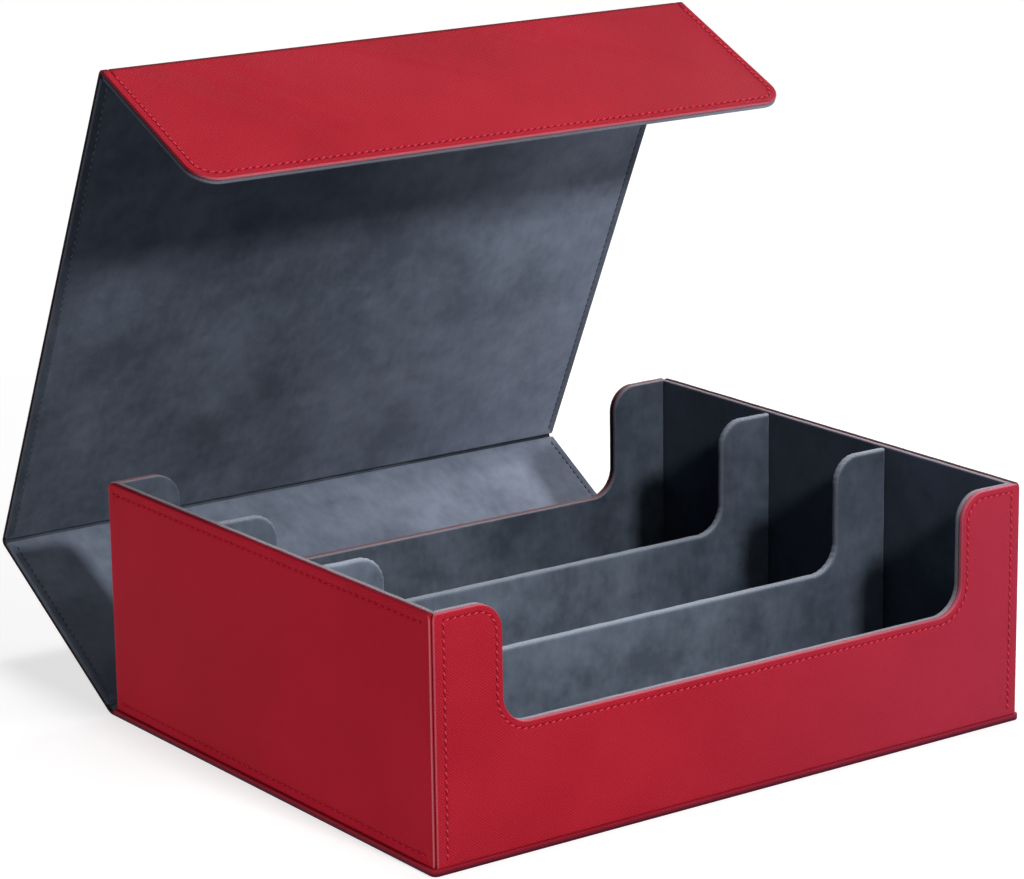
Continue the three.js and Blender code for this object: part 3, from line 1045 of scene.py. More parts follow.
@dataclass(frozen=True)
class Outline:
    """A panel's outline, anticlockwise, with square corners that may be rounded."""

    corners: tuple[Corner, ...]
    least_radius: float = 0.05 * MM
    arc_step: float = 0.9 * MM
    fewest_steps: int = 2
    most_steps: int = 24
    straight_step: float = 7.0 * MM

    def rings(self, insets: Array, depths: Array) -> tuple[Array, Array]:
        """Draws the outline at several insets.

        Each corner is a quarter of an ellipse, whose reach along each of its two edges is the radius less
        the other edge's inset, or plus it where the corner stands in. The depth eases from one edge's
        depth to the next round the corner.

        Args:
            insets: The inset of each edge in each ring, as rings by edges.
            depths: The depth of each edge in each ring, as rings by edges.

        Returns:
            The points, as rings by points by X, depth and height, and the share of each edge's kind at
            each point, as points by edges.
        """
        places = np.array([[corner.x, corner.height] for corner in self.corners])
        radii = np.array([corner.radius for corner in self.corners])
        before = np.roll(places, 1, axis=0) - places
        after = np.roll(places, -1, axis=0) - places
        gaps = np.linalg.norm(after, axis=1)
        before = before / np.linalg.norm(before, axis=1, keepdims=True)
        after = after / gaps[:, None]
        side = np.sign(after[:, 0] * before[:, 1] - after[:, 1] * before[:, 0])
        inset_before = np.roll(insets, 1, axis=1)
        depth_before = np.roll(depths, 1, axis=1)
        reach_before = np.maximum(radii - side * insets, self.least_radius)[..., None]
        reach_after = np.maximum(radii - side * inset_before, self.least_radius)[..., None]
        corner = places + (side * insets)[..., None] * before + (side * inset_before)[..., None] * after
        centre = corner + reach_before * before + reach_after * after
        quarters = np.ceil(radii * math.pi / 2.0 / self.arc_step)
        steps = np.clip(quarters, self.fewest_steps, self.most_steps).astype(int)
        arcs, parts, kinds = [], [], []
        for at, count in enumerate(steps):
            turn = np.linspace(0.0, math.pi / 2.0, count + 1)[None, :, None]
            arcs.append(
                centre[:, at, None]
                - reach_after[:, at, None] * after[at] * np.cos(turn)
                - reach_before[:, at, None] * before[at] * np.sin(turn)
            )
        for at, count in enumerate(steps):
            eased = smooth_step(np.linspace(0.0, 1.0, count + 1))
            depth = depth_before[:, at, None] * (1.0 - eased) + depths[:, at, None] * eased
            parts.append(np.concatenate([arcs[at], depth[..., None]], axis=-1))
            share = np.zeros((count + 1, len(steps)))
            share[:, at - 1] += 1.0 - eased
            share[:, at] += eased
            kinds.append(share)
            between = max(int(gaps[at] / self.straight_step), 1)
            along = np.linspace(0.0, 1.0, between + 1)[1:-1][None, :, None]
            run = arcs[at][:, -1:] * (1.0 - along) + arcs[(at + 1) % len(steps)][:, :1] * along
            level = np.broadcast_to(depths[:, at, None, None], (*run.shape[:2], 1))
            parts.append(np.concatenate([run, level], axis=-1))
            share = np.zeros((run.shape[1], len(steps)))
            share[:, at] = 1.0
            kinds.append(share)
        flat = np.concatenate(parts, axis=1)
        return flat[..., [0, 2, 1]], np.concatenate(kinds)

    def even_rings(self, rows: Array) -> tuple[Array, Array]:
        """Draws the outline at rows of an inset and a depth that are the same at all its edges."""
        spread = np.ones((1, len(self.corners)))
        return self.rings(rows[:, :1] * spread, rows[:, 1:] * spread)

    def runs_level(self) -> Array:
        """Gives 1 for each edge that runs level, and 0 for each that stands upright."""
        heights = np.array([corner.height for corner in self.corners])
        return (np.abs(np.roll(heights, -1) - heights) < SAME_LEVEL).astype(float)

    def does(self, *edges: Edge) -> Array:
        """Gives 1 for each edge that does one of these, and otherwise 0."""
        return np.array([corner.edge in edges for corner in self.corners], dtype=float)

    def path(self, inset: float, inset_at_ends: float = 0.0) -> Array:
        """Gives the line at an inset from the turned edges, and at another one from the mitred ends.

        Args:
            inset: The inset from the turned edges.
            inset_at_ends: The inset from the mitred ends and folds.

        Returns:
            The closed line's points, as points by two.
        """
        own = np.where(self.does(Edge.SEWN, Edge.GLUED), inset, inset_at_ends)[None]
        points, _ = self.rings(own, np.zeros_like(own))
        line = points[0][:, [0, 2]]
        return np.concatenate([line, line[:1]])


def cut_open(line: Array, level: float, upwards: float) -> Array:
    """Cuts a closed line off at a level.

    Args:
        line: The closed line's points, as points by place and height.
        level: The height to cut at.
        upwards: 1 to keep what is above the level, and -1 to keep what is below it.

    Returns:
        What is left, in order, with both ends on the level.
    """
    ring = line[:-1]
    kept = (ring[:, 1] - level) * upwards > SAME_LEVEL
    first = int(np.flatnonzero(kept & ~np.roll(kept, 1))[0])
    left = np.roll(ring, -first, axis=0)[np.roll(kept, -first)]
    ends = left[[0, -1]].copy()
    ends[:, 1] = level
    return np.concatenate([ends[:1], left, ends[1:]])


@dataclass(frozen=True)
class Unevenness:
    """The small waver of a hand-turned edge, and the puckers of the sheet round corners."""

    depth: float = 0.0
    wave: float = 31.0 * MM
    pucker: float = 0.0
    pucker_wave: float = 2.6 * MM
    pucker_bend: float = 0.05

    def offset(self, ring: Array, free: Array) -> Array:
        """Gives how far each point of the edge stands out.

        The waver is two sines of the way round the outline, and the puckers are a short sine that grows
        with the outline's bend.

        Args:
            ring: The outline's points, as points by two.
            free: How free each point is to move, from 0 to 1.

        Returns:
            The offset of each point, as points by two.
        """
        ahead = np.roll(ring, -1, axis=0) - ring
        behind = ring - np.roll(ring, 1, axis=0)
        gone = math.tau * gone_along(ring)
        tangent = ahead + behind
        tangent = tangent / np.maximum(np.linalg.norm(tangent, axis=1, keepdims=True), 1e-9)
        lengths = np.linalg.norm(ahead, axis=1) * np.linalg.norm(behind, axis=1)
        bend = np.abs(ahead[:, 0] * behind[:, 1] - ahead[:, 1] * behind[:, 0]) / np.maximum(lengths, 1e-12)
        puckered = smooth_step(bend / self.pucker_bend)
        waver = 0.6 * np.sin(gone / self.wave) + 0.4 * np.sin(gone / (0.37 * self.wave) + 1.3)
        out = self.depth * waver + self.pucker * puckered * np.sin(gone / self.pucker_wave)
        normal = np.stack([tangent[:, 1], -tangent[:, 0]], axis=-1)
        return normal * (out * free)[:, None]


@dataclass(frozen=True)
class Skin:
    """One sheet on one panel: its outline, its turning, and which side of the panel it covers.

    Attributes:
        outline: The panel's outline.
        turning: How the sheet goes over the edges.
        panel: The panel's whole thickness, when the sheet lies on its far side, and otherwise zero.
        uneven: The waver of its turned edges.
        sheet_from: The place on the roll that the panel was cut from, so that no two look alike.
        waver_ring: The ring whose waver all the others follow.
    """

    outline: Outline
    turning: Turning
    uneven: Unevenness = Unevenness()
    panel: float = 0.0
    sheet_from: tuple[float, float] = (0.0, 0.0)
    waver_ring: int = -5

    def by_edge(self, sewn: Array, glued: Array, mitred: Array, folding: Array) -> Array:
        """Picks a row of numbers for each edge of the outline by what the edge does."""
        rows = {Edge.SEWN: sewn, Edge.GLUED: glued, Edge.MITRED: mitred, Edge.FOLD: folding}
        return np.stack([rows[corner.edge] for corner in self.outline.corners], axis=-1)

    def surface(self) -> Surface:
        """Lays the sheet: the rows of each edge's turning, carried round the outline.

        Returns:
            The sheet's surface.
        """
        outline, turning, edge_scuff_and_light = self.outline, self.turning, self.turning.edge_scuff_and_light
        rows = (turning.turned(), turning.glued(), turning.mitred(), turning.folding())
        insets = self.by_edge(*(row[:, 0] for row in rows))
        depths = self.by_edge(*(row[:, 1] for row in rows))
        points, kinds = outline.rings(insets, depths)
        flat = self.by_edge(*(unrolled(row) for row in rows[:3]), rows[3][:, 0])
        sheet, _ = outline.rings(flat, np.zeros_like(flat))
        turned = outline.does(Edge.SEWN, Edge.GLUED)
        mitred = kinds @ outline.does(Edge.MITRED)
        sewn = kinds @ outline.does(Edge.SEWN) + mitred * turning.sewn_ends
        near = turning.nearness()[:, None]
        offset = self.uneven.offset(points[self.waver_ring][:, [0, 2]], kinds @ turned)
        points[..., [0, 2]] += near[..., None] * offset[None]
        if self.panel:
            points[..., 1] = self.panel - points[..., 1]
        # The edge attribute: a scuffed colour with a painted highlight, set apart for level and upright
        # edges, and on the brim of mitred corners.
        level = outline.runs_level()
        scuff_and_highlight = kinds @ (turned * (level * edge_scuff_and_light.level_scuff_and_highlight + (1.0 - level) * edge_scuff_and_light.upright_scuff_and_highlight))
        dark = kinds @ (turned * (level * edge_scuff_and_light.level_dark + (1.0 - level) * edge_scuff_and_light.upright_dark))
        edge = near * scuff_and_highlight[None, :] + edge_scuff_and_light.corner_scuff_and_highlight * turning.brim()[:, None] * mitred[None, :]
        # The groove attribute: painted shade in the sewing groove, in the closed corner of a mitre and on
        # edges in shade.
        groove = turning.painted_shade()[:, None] * sewn[None, :]
        groove = groove + edge_scuff_and_light.corner_dark * turning.shut()[:, None] * mitred[None, :]
        groove = np.clip(np.maximum(groove, turning.darkness()[:, None] * dark[None, :]), 0.0, 1.0)
        return Surface(points, sheet[..., [0, 2]] + np.array(self.sheet_from), edge, groove)


@dataclass(frozen=True)
class TrayPanels:
    """The tray's sizes, read from the frame's boards and skins, and those of the shared cut-out."""

    width: float
    depth: float
    foot: float
    rim: float
    wall: float
    post_width: float = 35.2 * MM
    cut_floor: float = 57.0 * MM
    post_radius: float = 12.5 * MM
    cut_radius: float = 13.5 * MM
    top_radius: float = 3.0 * MM
    foot_radius: float = 1.5 * MM

    @classmethod
    def from_frame(cls) -> TrayPanels:
        """Reads the tray's sizes from the front wall's two skins and the left wall's leather.

        Returns:
            The sizes.
        """
        leather_low, leather_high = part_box("front_wall_leather")
        _, lining_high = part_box("front_wall_lining")
        side_low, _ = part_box("left_wall_leather")
        return cls(
            width=-2.0 * side_low.x,
            depth=-2.0 * leather_low.y,
            foot=leather_low.z,
            rim=leather_high.z,
            wall=lining_high.y - leather_low.y,
        )

    def outline(
        self, half_width: float, foot: float, rim: float, foot_edge: Edge, ends: Edge, cut_out: bool,
        top: float,
    ) -> Outline:
        """Draws an upright panel.

        Args:
            half_width: Half of its width.
            foot: The height of its lower edge.
            rim: The height of its upper edge.
            foot_edge: What its lower edge does.
            ends: What its upright ends do.
            cut_out: Whether it has the wide cut-out.
            top: The radius of its two upper corners.

        Returns:
            The outline.
        """
        side = Edge.SEWN
        cut = self.width / 2.0 - self.post_width
        dip = (
            Corner(cut, rim, self.post_radius, side),
            Corner(cut, self.cut_floor, self.cut_radius, side),
            Corner(-cut, self.cut_floor, self.cut_radius, side),
            Corner(-cut, rim, self.post_radius, side),
        )
        return Outline((
            Corner(-half_width, foot, self.foot_radius, foot_edge),
            Corner(half_width, foot, self.foot_radius, ends),
            Corner(half_width, rim, top, side),
            *(dip if cut_out else ()),
            Corner(-half_width, rim, top, ends),
        ))


@dataclass(frozen=True)
class Wall:
    """One wall of the tray: leatherette outside, suede inside, and red stitches."""

    name: str
    half_width: float
    cut_out: bool
    place: Matrix
    roll_place: float
    panels: TrayPanels
    red: Finish
    edge_scuff_and_light: EdgeScuffAndLight
    # The grooves of both seams take painted shade.
    low_seam: Stitching = Stitching(inset=3.1 * MM, pitch=3.5 * MM, length=2.4 * MM, groove_dark=0.5)
    long_seam: Stitching = Stitching(inset=4.3 * MM, pitch=4.6 * MM, length=3.0 * MM, groove_dark=0.3)
    # The lining's rim: pale pile with a painted highlight, most on its level edges.
    lining_scuff_and_light: EdgeScuffAndLight = EdgeScuffAndLight(level_scuff_and_highlight=0.85, upright_scuff_and_highlight=0.2)
    goods: SheetGoods = SheetGoods()
    edge_radius: float = 0.8 * MM
    corner_radius: float = 0.8 * MM
    mitre_slit: float = 0.03 * MM
    suede_roll: float = 0.4

    def stitching(self) -> Stitching:
        """Picks the finer stitches for a wall with the cut-out, and the longer ones for a side wall."""
        return self.low_seam if self.cut_out else self.long_seam

    def lip(self) -> float:
        """Gives how far the sheets are turned over: to the seam at the middle of the wall's thickness."""
        return self.panels.wall / 2.0 - self.goods.seam / 2.0

    def outline(self) -> Outline:
        """Draws the wall, with mitred ends. A wall with the cut-out isn't sewn along its foot.

        Returns:
            The outline.
        """
        panels = self.panels
        foot_edge = Edge.GLUED if self.cut_out else Edge.SEWN
        return panels.outline(
            self.half_width, panels.foot, panels.rim, foot_edge, Edge.MITRED, self.cut_out,
            panels.top_radius,
        )

    def leather(self) -> Surface:
        """Lays the leatherette.

        Returns:
            Its surface.
        """
        turning = Turning(
            self.goods.leather, self.edge_radius, self.lip(), self.edge_scuff_and_light, self.stitching(),
            sewn_ends=self.cut_out, mitre=self.mitre_slit, mitre_radius=self.corner_radius,
        )
        uneven = Unevenness(depth=0.05 * MM, pucker=0.03 * MM)
        return Skin(self.outline(), turning, uneven, sheet_from=(self.roll_place, 0.0)).surface()

    def lining(self) -> Surface:
        """Lays the suede, which is turned over to meet the leatherette.

        Returns:
            Its surface.
        """
        turning = Turning(
            self.goods.suede, self.edge_radius, self.lip(), self.lining_scuff_and_light,
            mitre=self.mitre_slit + self.panels.wall, mitre_slope=-1.0,
        )
        uneven = Unevenness(depth=0.07 * MM, pucker=0.05 * MM)
        sheet_from = (self.roll_place, self.suede_roll)
        return Skin(self.outline(), turning, uneven, self.panels.wall, sheet_from).surface()

    def seams(self) -> list[Array]:
        """Gives the lines that are sewn: round a wall with the cut-out but for its foot, or its long edges.

        Returns:
            The lines, each as points by two.
        """
        sewn = self.stitching()
        foot, rim = self.panels.foot + sewn.inset, self.panels.rim - sewn.inset
        if self.cut_out:
            return [cut_open(self.outline().path(sewn.inset, sewn.inset_at_corner), foot, 1.0)]
        reach = self.half_width - sewn.inset_at_corner
        return [np.array([[-reach, height], [reach, height]]) for height in (foot, rim)]

    def build(self, workshop: Workshop) -> None:
        """Makes the wall's skins and stitches, and puts them on the tray.

        Args:
            workshop: Where the pieces are made.
        """
        name, place = self.name, self.place
        # Walls with the cut-out take the darker suede copy, and side walls the darkest copy and the shaded
        # copy of the thread, all as painted shade.
        suede, thread = (
            (Finish.DARKER_SUEDE, Finish.RED_THREAD) if self.cut_out else (Finish.DARKEST_SUEDE, Finish.SHADED_RED_THREAD)
        )
        leather = self.leather().mesh(f"{name}_leatherette", place)
        workshop.add_piece(leather, self.red, f"{name}_leather", "tray")
        lining = self.lining().mesh(f"{name}_suede", place)
        workshop.add_piece(lining, suede, f"{name}_lining", "tray")
        stitches = self.stitching().mesh(f"{name}_stitches", self.seams(), 0.0, -1.0, place)
        workshop.add_piece(stitches, thread, body="tray")


@dataclass(frozen=True)
class Divider:
    """A divider: a suede sleeve with a soft round rim, drawn over its board."""

    name: str
    panels: TrayPanels
    roll_place: float
    rim_radius: float = 1.95 * MM
    scuffed_round_share: float = 0.75
    end_radius: float = 0.6 * MM
    flat_margin: float = 1.2 * MM
    # The rim's pale pile with a painted highlight: most where it runs level, lit from above.
    edge_scuff_and_light: EdgeScuffAndLight = EdgeScuffAndLight(level_scuff_and_highlight=1.0, upright_scuff_and_highlight=0.3)
    uneven: Unevenness = Unevenness(depth=0.1 * MM, pucker=0.16 * MM, pucker_wave=3.1 * MM)
    round_steps: int = 9

    def surface(self, half_width: float, foot: float, rim: float, thickness: float) -> Surface:
        """Draws the sleeve: from its front face over the rim, a quarter circle on each side, to its back.

        Args:
            half_width: Half of its width.
            foot: The height of its lower edge.
            rim: The height of its upper edge.
            thickness: From its front face to its back face.

        Returns:
            The sleeve's surface.
        """
        face = np.array([[self.rim_radius + self.flat_margin, 0.0]])
        front = np.concatenate([face, quarter_round(self.rim_radius, self.round_steps)])
        back = front[::-1] * np.array([1.0, -1.0]) + np.array([0.0, thickness])
        rows = np.concatenate([front, back])
        outline = self.panels.outline(half_width, foot, rim, Edge.GLUED, Edge.GLUED, True, self.end_radius)
        points, kinds = outline.even_rings(rows)
        sheet, _ = outline.even_rings(np.stack([unrolled(rows), np.zeros(len(rows))], axis=-1))
        near = smooth_step(1.0 - rows[:, 0] / (self.scuffed_round_share * self.rim_radius))
        middle = points[self.round_steps][:, [0, 2]]
        offset = self.uneven.offset(middle, np.ones(len(middle)))
        points[..., [0, 2]] += near[:, None, None] * offset[None]
        # The rim's pale pile with a painted highlight, stronger where the rim runs level.
        level = outline.runs_level()
        scuff_and_highlight = kinds @ (level * self.edge_scuff_and_light.level_scuff_and_highlight + (1.0 - level) * self.edge_scuff_and_light.upright_scuff_and_highlight)
        place = sheet[..., [0, 2]] + np.array([self.roll_place, 0.0])
        return Surface(points, place, near[:, None] * scuff_and_highlight[None, :], np.zeros(points.shape[:2]))

    def build(self, workshop: Workshop) -> None:
        """Makes the sleeve where the frame has it, and puts it on the tray.

        Args:
            workshop: Where the pieces are made.
        """
        node = f"{self.name}_suede"
        low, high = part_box(node)
        surface = self.surface(high.x, low.z, high.z, high.y - low.y)
        mesh = surface.mesh(f"{self.name}_sleeve", Matrix.Translation((0.0, low.y, 0.0)))
        workshop.add_piece(mesh, Finish.EVEN, node, "tray")


@dataclass(frozen=True)
class RowLining:
    """The suede on the floor of one row."""

    name: str
    roll_place: float
    edge_radius: float = 0.3 * MM
    corner_radius: float = 0.8 * MM
    suede_roll: float = 0.9
    round_steps: int = 4

    def build(self, workshop: Workshop) -> None:
        """Lays a thin sheet with soft edges where the frame has it, face up, and puts it on the tray.

        Args:
            workshop: Where the pieces are made.
        """
        low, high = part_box(self.name)
        half_depth = (high.y - low.y) / 2.0
        outline = Outline(tuple(
            Corner(across * high.x, along * half_depth, self.corner_radius, Edge.SEWN)
            for across, along in SQUARE
        ))
        over = quarter_round(self.edge_radius, self.round_steps)
        rows = np.concatenate([[[3.0 * self.edge_radius, 0.0]], over, [[0.0, high.z - low.z]]])
        points, _ = outline.even_rings(rows)
        sheet = points[..., [0, 2]] + np.array([self.roll_place, self.suede_roll])
        none = np.zeros(points.shape[:2])
        middle = Matrix.Translation((0.0, (low.y + high.y) / 2.0, high.z))
        face_up = middle @ Matrix.Rotation(math.radians(-90.0), 4, "X")
        mesh = Surface(points, sheet, none, none).mesh(f"{self.name}_sheet", face_up)
        workshop.add_piece(mesh, Finish.EVEN, self.name, "tray")


@dataclass(frozen=True)
class Tray:
    """The open tray: four walls, two dividers and the suede in its three rows."""

    panels: TrayPanels

    def walls(self) -> list[Wall]:
        """Stands the four walls round the tray, each with its outer face outside.

        Returns:
            The walls.
        """
        half_width, half_depth = self.panels.width / 2.0, self.panels.depth / 2.0
        # Each wall's edges: a scuffed colour with a painted highlight, and painted shade, darkest on the
        # rear wall's upright edges and the right wall's rim.
        front = EdgeScuffAndLight(level_scuff_and_highlight=0.45, upright_scuff_and_highlight=0.3, corner_scuff_and_highlight=0.35)
        rear = EdgeScuffAndLight(level_scuff_and_highlight=0.85, level_dark=0.35, upright_dark=1.0)
        left = EdgeScuffAndLight(level_dark=0.6, corner_scuff_and_highlight=0.45)
        right = EdgeScuffAndLight(level_dark=1.0)
        stands = (
            ("front_wall", half_width, True, (0.0, -half_depth), 0.0, 0.0, Finish.FRONT_WALL, front),
            ("rear_wall", half_width, True, (0.0, half_depth), 180.0, 1.3, Finish.REAR_WALL, rear),
            ("left_wall", half_depth, False, (-half_width, 0.0), -90.0, 2.1, Finish.SIDE_WALL, left),
            ("right_wall", half_depth, False, (half_width, 0.0), 90.0, 3.7, Finish.SIDE_WALL, right),
        )
        return [
            Wall(
                name=name,
                half_width=half,
                cut_out=cut_out,
                place=Matrix.Translation((*at, 0.0)) @ Matrix.Rotation(math.radians(turn), 4, "Z"),
                roll_place=roll,
                panels=self.panels,
                red=red,
                edge_scuff_and_light=edge_scuff_and_light,
            )
            for name, half, cut_out, at, turn, roll, red, edge_scuff_and_light in stands
        ]

    def build(self, workshop: Workshop) -> None:
        """Makes everything that stays on the tray.

        Args:
            workshop: Where the pieces are made.
        """
        for wall in self.walls():
            wall.build(workshop)
        for count, side in enumerate(("front", "rear")):
            Divider(f"{side}_divider", self.panels, 5.0 + count).build(workshop)
        for count, side in enumerate(("front", "middle", "rear")):
            RowLining(f"{side}_row_lining", 7.0 + count).build(workshop)


@dataclass(frozen=True)
class Hinge:
    """The line of a fold, as a place in Y and Z."""

    y: float
    z: float

    def towards(self, other: Hinge) -> tuple[float, float]:
        """Gives the turn about X of a panel that runs from this fold to another, and its length."""
        along, up = other.y - self.y, other.z - self.z
        return math.atan2(-along, up), math.hypot(along, up)


@dataclass(frozen=True)
class CoverPanel:
    """One board of the cover and its two skins.

    Along it, distances run from its fold, which lies at sheet_place on the long sheet. Its outer face lies
    half the leather outside the fold's line, and its turn is 0 where it stands upright. The pressed groove
    is that of the lining's stitches. The base has no suede.
    """

    name: str
    body: str
    fold: Hinge
    turn: float
    start: float
    end: float
    width: float
    first_edge: Edge
    last_edge: Edge
    last_radius: float
    sheet_place: float
    red: Finish = Finish.COVER
    suede: Finish | None = None
    goods: SheetGoods = SheetGoods()
    stitching: Stitching = Stitching()
    thickness: float = 3.8 * MM
    leather_lip: float = 1.75 * MM
    edge_radius: float = 0.8 * MM
    lining_corner: float = 1.0 * MM
    lip_at_folds: float = 0.65 * MM
    # The leatherette's edges take painted shade all round, and the lining's upright edges a little scuffing
    # with a painted highlight.
    edge_scuff_and_light: EdgeScuffAndLight = EdgeScuffAndLight(level_dark=1.0, upright_dark=1.0)
    lining_scuff_and_light: EdgeScuffAndLight = EdgeScuffAndLight(upright_scuff_and_highlight=0.1)
    turn_in: float = 0.0
    lip_near: float = 1.0
    # Painted shade on the band outside the lining's pressed groove, and in the groove.
    band_dark: float = 0.45
    pressed_dark: float = 0.6
    pressed_depth: float = 0.15 * MM
    pressed_half_width: float = 0.6 * MM
    from_folds: float = 3.5 * MM
    crisp: float = 0.02 * MM
    suede_roll: float = 3.0

    def place(self) -> Matrix:
        """Hangs the panel at its fold, with its depth running inward.

        Returns:
            Its place.
        """
        hung = Matrix.Translation((0.0, self.fold.y, self.fold.z)) @ Matrix.Rotation(self.turn, 4, "X")
        outside = Matrix.Translation((0.0, self.goods.leather / 2.0, 0.0))
        return hung @ outside @ Matrix.Rotation(math.pi, 4, "Z")

    def outline(self, first: Edge, last: Edge, first_radius: float, last_radius: float) -> Outline:
        """Draws the panel from its start to its end.

        Args:
            first: What the edge at its start does.
            last: What the edge at its end does.
            first_radius: The radius of the corners at its start.
            last_radius: The radius of the corners at its end.

        Returns:
            The outline.
        """
        side = self.width / 2.0
        return Outline((
            Corner(-side, self.start, first_radius, first),
            Corner(side, self.start, first_radius, Edge.SEWN),
            Corner(side, self.end, last_radius, last),
            Corner(-side, self.end, last_radius, Edge.SEWN),
        ))

    def leather_outline(self) -> Outline:
        """Draws the leatherette's outline, which is square at the folds.

        Returns:
            The outline.
        """
        edges = (self.first_edge, self.last_edge)
        radii = (self.crisp if edge is Edge.FOLD else self.last_radius for edge in edges)
        return self.outline(*edges, *radii)

    def turning(self) -> Turning:
        """Says how the leatherette goes over the panel's edges.

        Returns:
            Its turning.
        """
        return Turning(
            self.goods.leather, self.edge_radius, self.leather_lip, self.edge_scuff_and_light, self.stitching,
            turn_in=self.turn_in, lip_near=self.lip_near,
        )

    def leather(self) -> Surface:
        """Lays the leatherette, turned over the free edges and square at the folds."""
        return Skin(self.leather_outline(), self.turning(), sheet_from=(0.0, self.sheet_place)).surface()

    def lining(self) -> Surface:
        """Lays the suede, turned down round all its edges.

        Returns:
            Its surface.
        """
        last_radius = self.lining_corner if self.last_edge is Edge.FOLD else self.last_radius
        edges = (self.first_edge, self.last_edge)
        first, last = (Edge.GLUED if edge is Edge.FOLD else edge for edge in edges)
        pressed = replace(
            self.stitching, groove_half_width=self.pressed_half_width, groove_depth=self.pressed_depth,
            groove_dark=self.pressed_dark,
        )
        lip = self.thickness - self.leather_lip - self.goods.seam
        turning = Turning(
            self.goods.suede, self.edge_radius, lip, self.lining_scuff_and_light, pressed,
            band_dark=self.band_dark, glued_deeper=self.lip_at_folds,
        )
        outline = self.outline(first, last, self.lining_corner, last_radius)
        uneven = Unevenness(depth=0.07 * MM, pucker=0.04 * MM)
        sheet_from = (0.0, self.sheet_place + self.suede_roll)
        return Skin(outline, turning, uneven, self.thickness, sheet_from).surface()

    def seams(self) -> list[Array]:
        """Gives the lines that are sewn: along the sides, and across where an end is free.

        Returns:
            The lines, each as points by two.
        """
        low, high = self.start + self.from_folds, self.end - self.from_folds
        if self.first_edge is Edge.FOLD and self.last_edge is Edge.FOLD:
            side = self.width / 2.0 - self.stitching.inset
            return [np.array([[x, low], [x, high]]) for x in (-side, side)]
        line = self.leather_outline().path(self.stitching.inset, self.from_folds)
        return [cut_open(line, high, -1.0) if self.last_edge is Edge.FOLD else cut_open(line, low, 1.0)]

    def build(self, workshop: Workshop) -> None:
        """Makes the panel's skins and its stitches, and puts them on its body.

        Args:
            workshop: Where the pieces are made.
        """
        name, place, seams = self.name, self.place(), self.seams()
        leather = self.leather().mesh(f"{name}_leatherette", place)
        workshop.add_piece(leather, self.red, f"{name}_leather", self.body)
        stitches = self.stitching.mesh(f"{name}_stitches", seams, 0.0, -1.0, place)
        workshop.add_piece(stitches, Finish.RED_THREAD, body=self.body)
        if self.suede:
            lining = self.lining().mesh(f"{name}_suede", place)
            workshop.add_piece(lining, self.suede, f"{name}_lining", self.body)
            face = self.thickness - self.pressed_depth
            stitches = self.stitching.mesh(f"{name}_inner_stitches", seams, face, 1.0, place)
            workshop.add_piece(stitches, Finish.SLATE_THREAD, body=self.body)


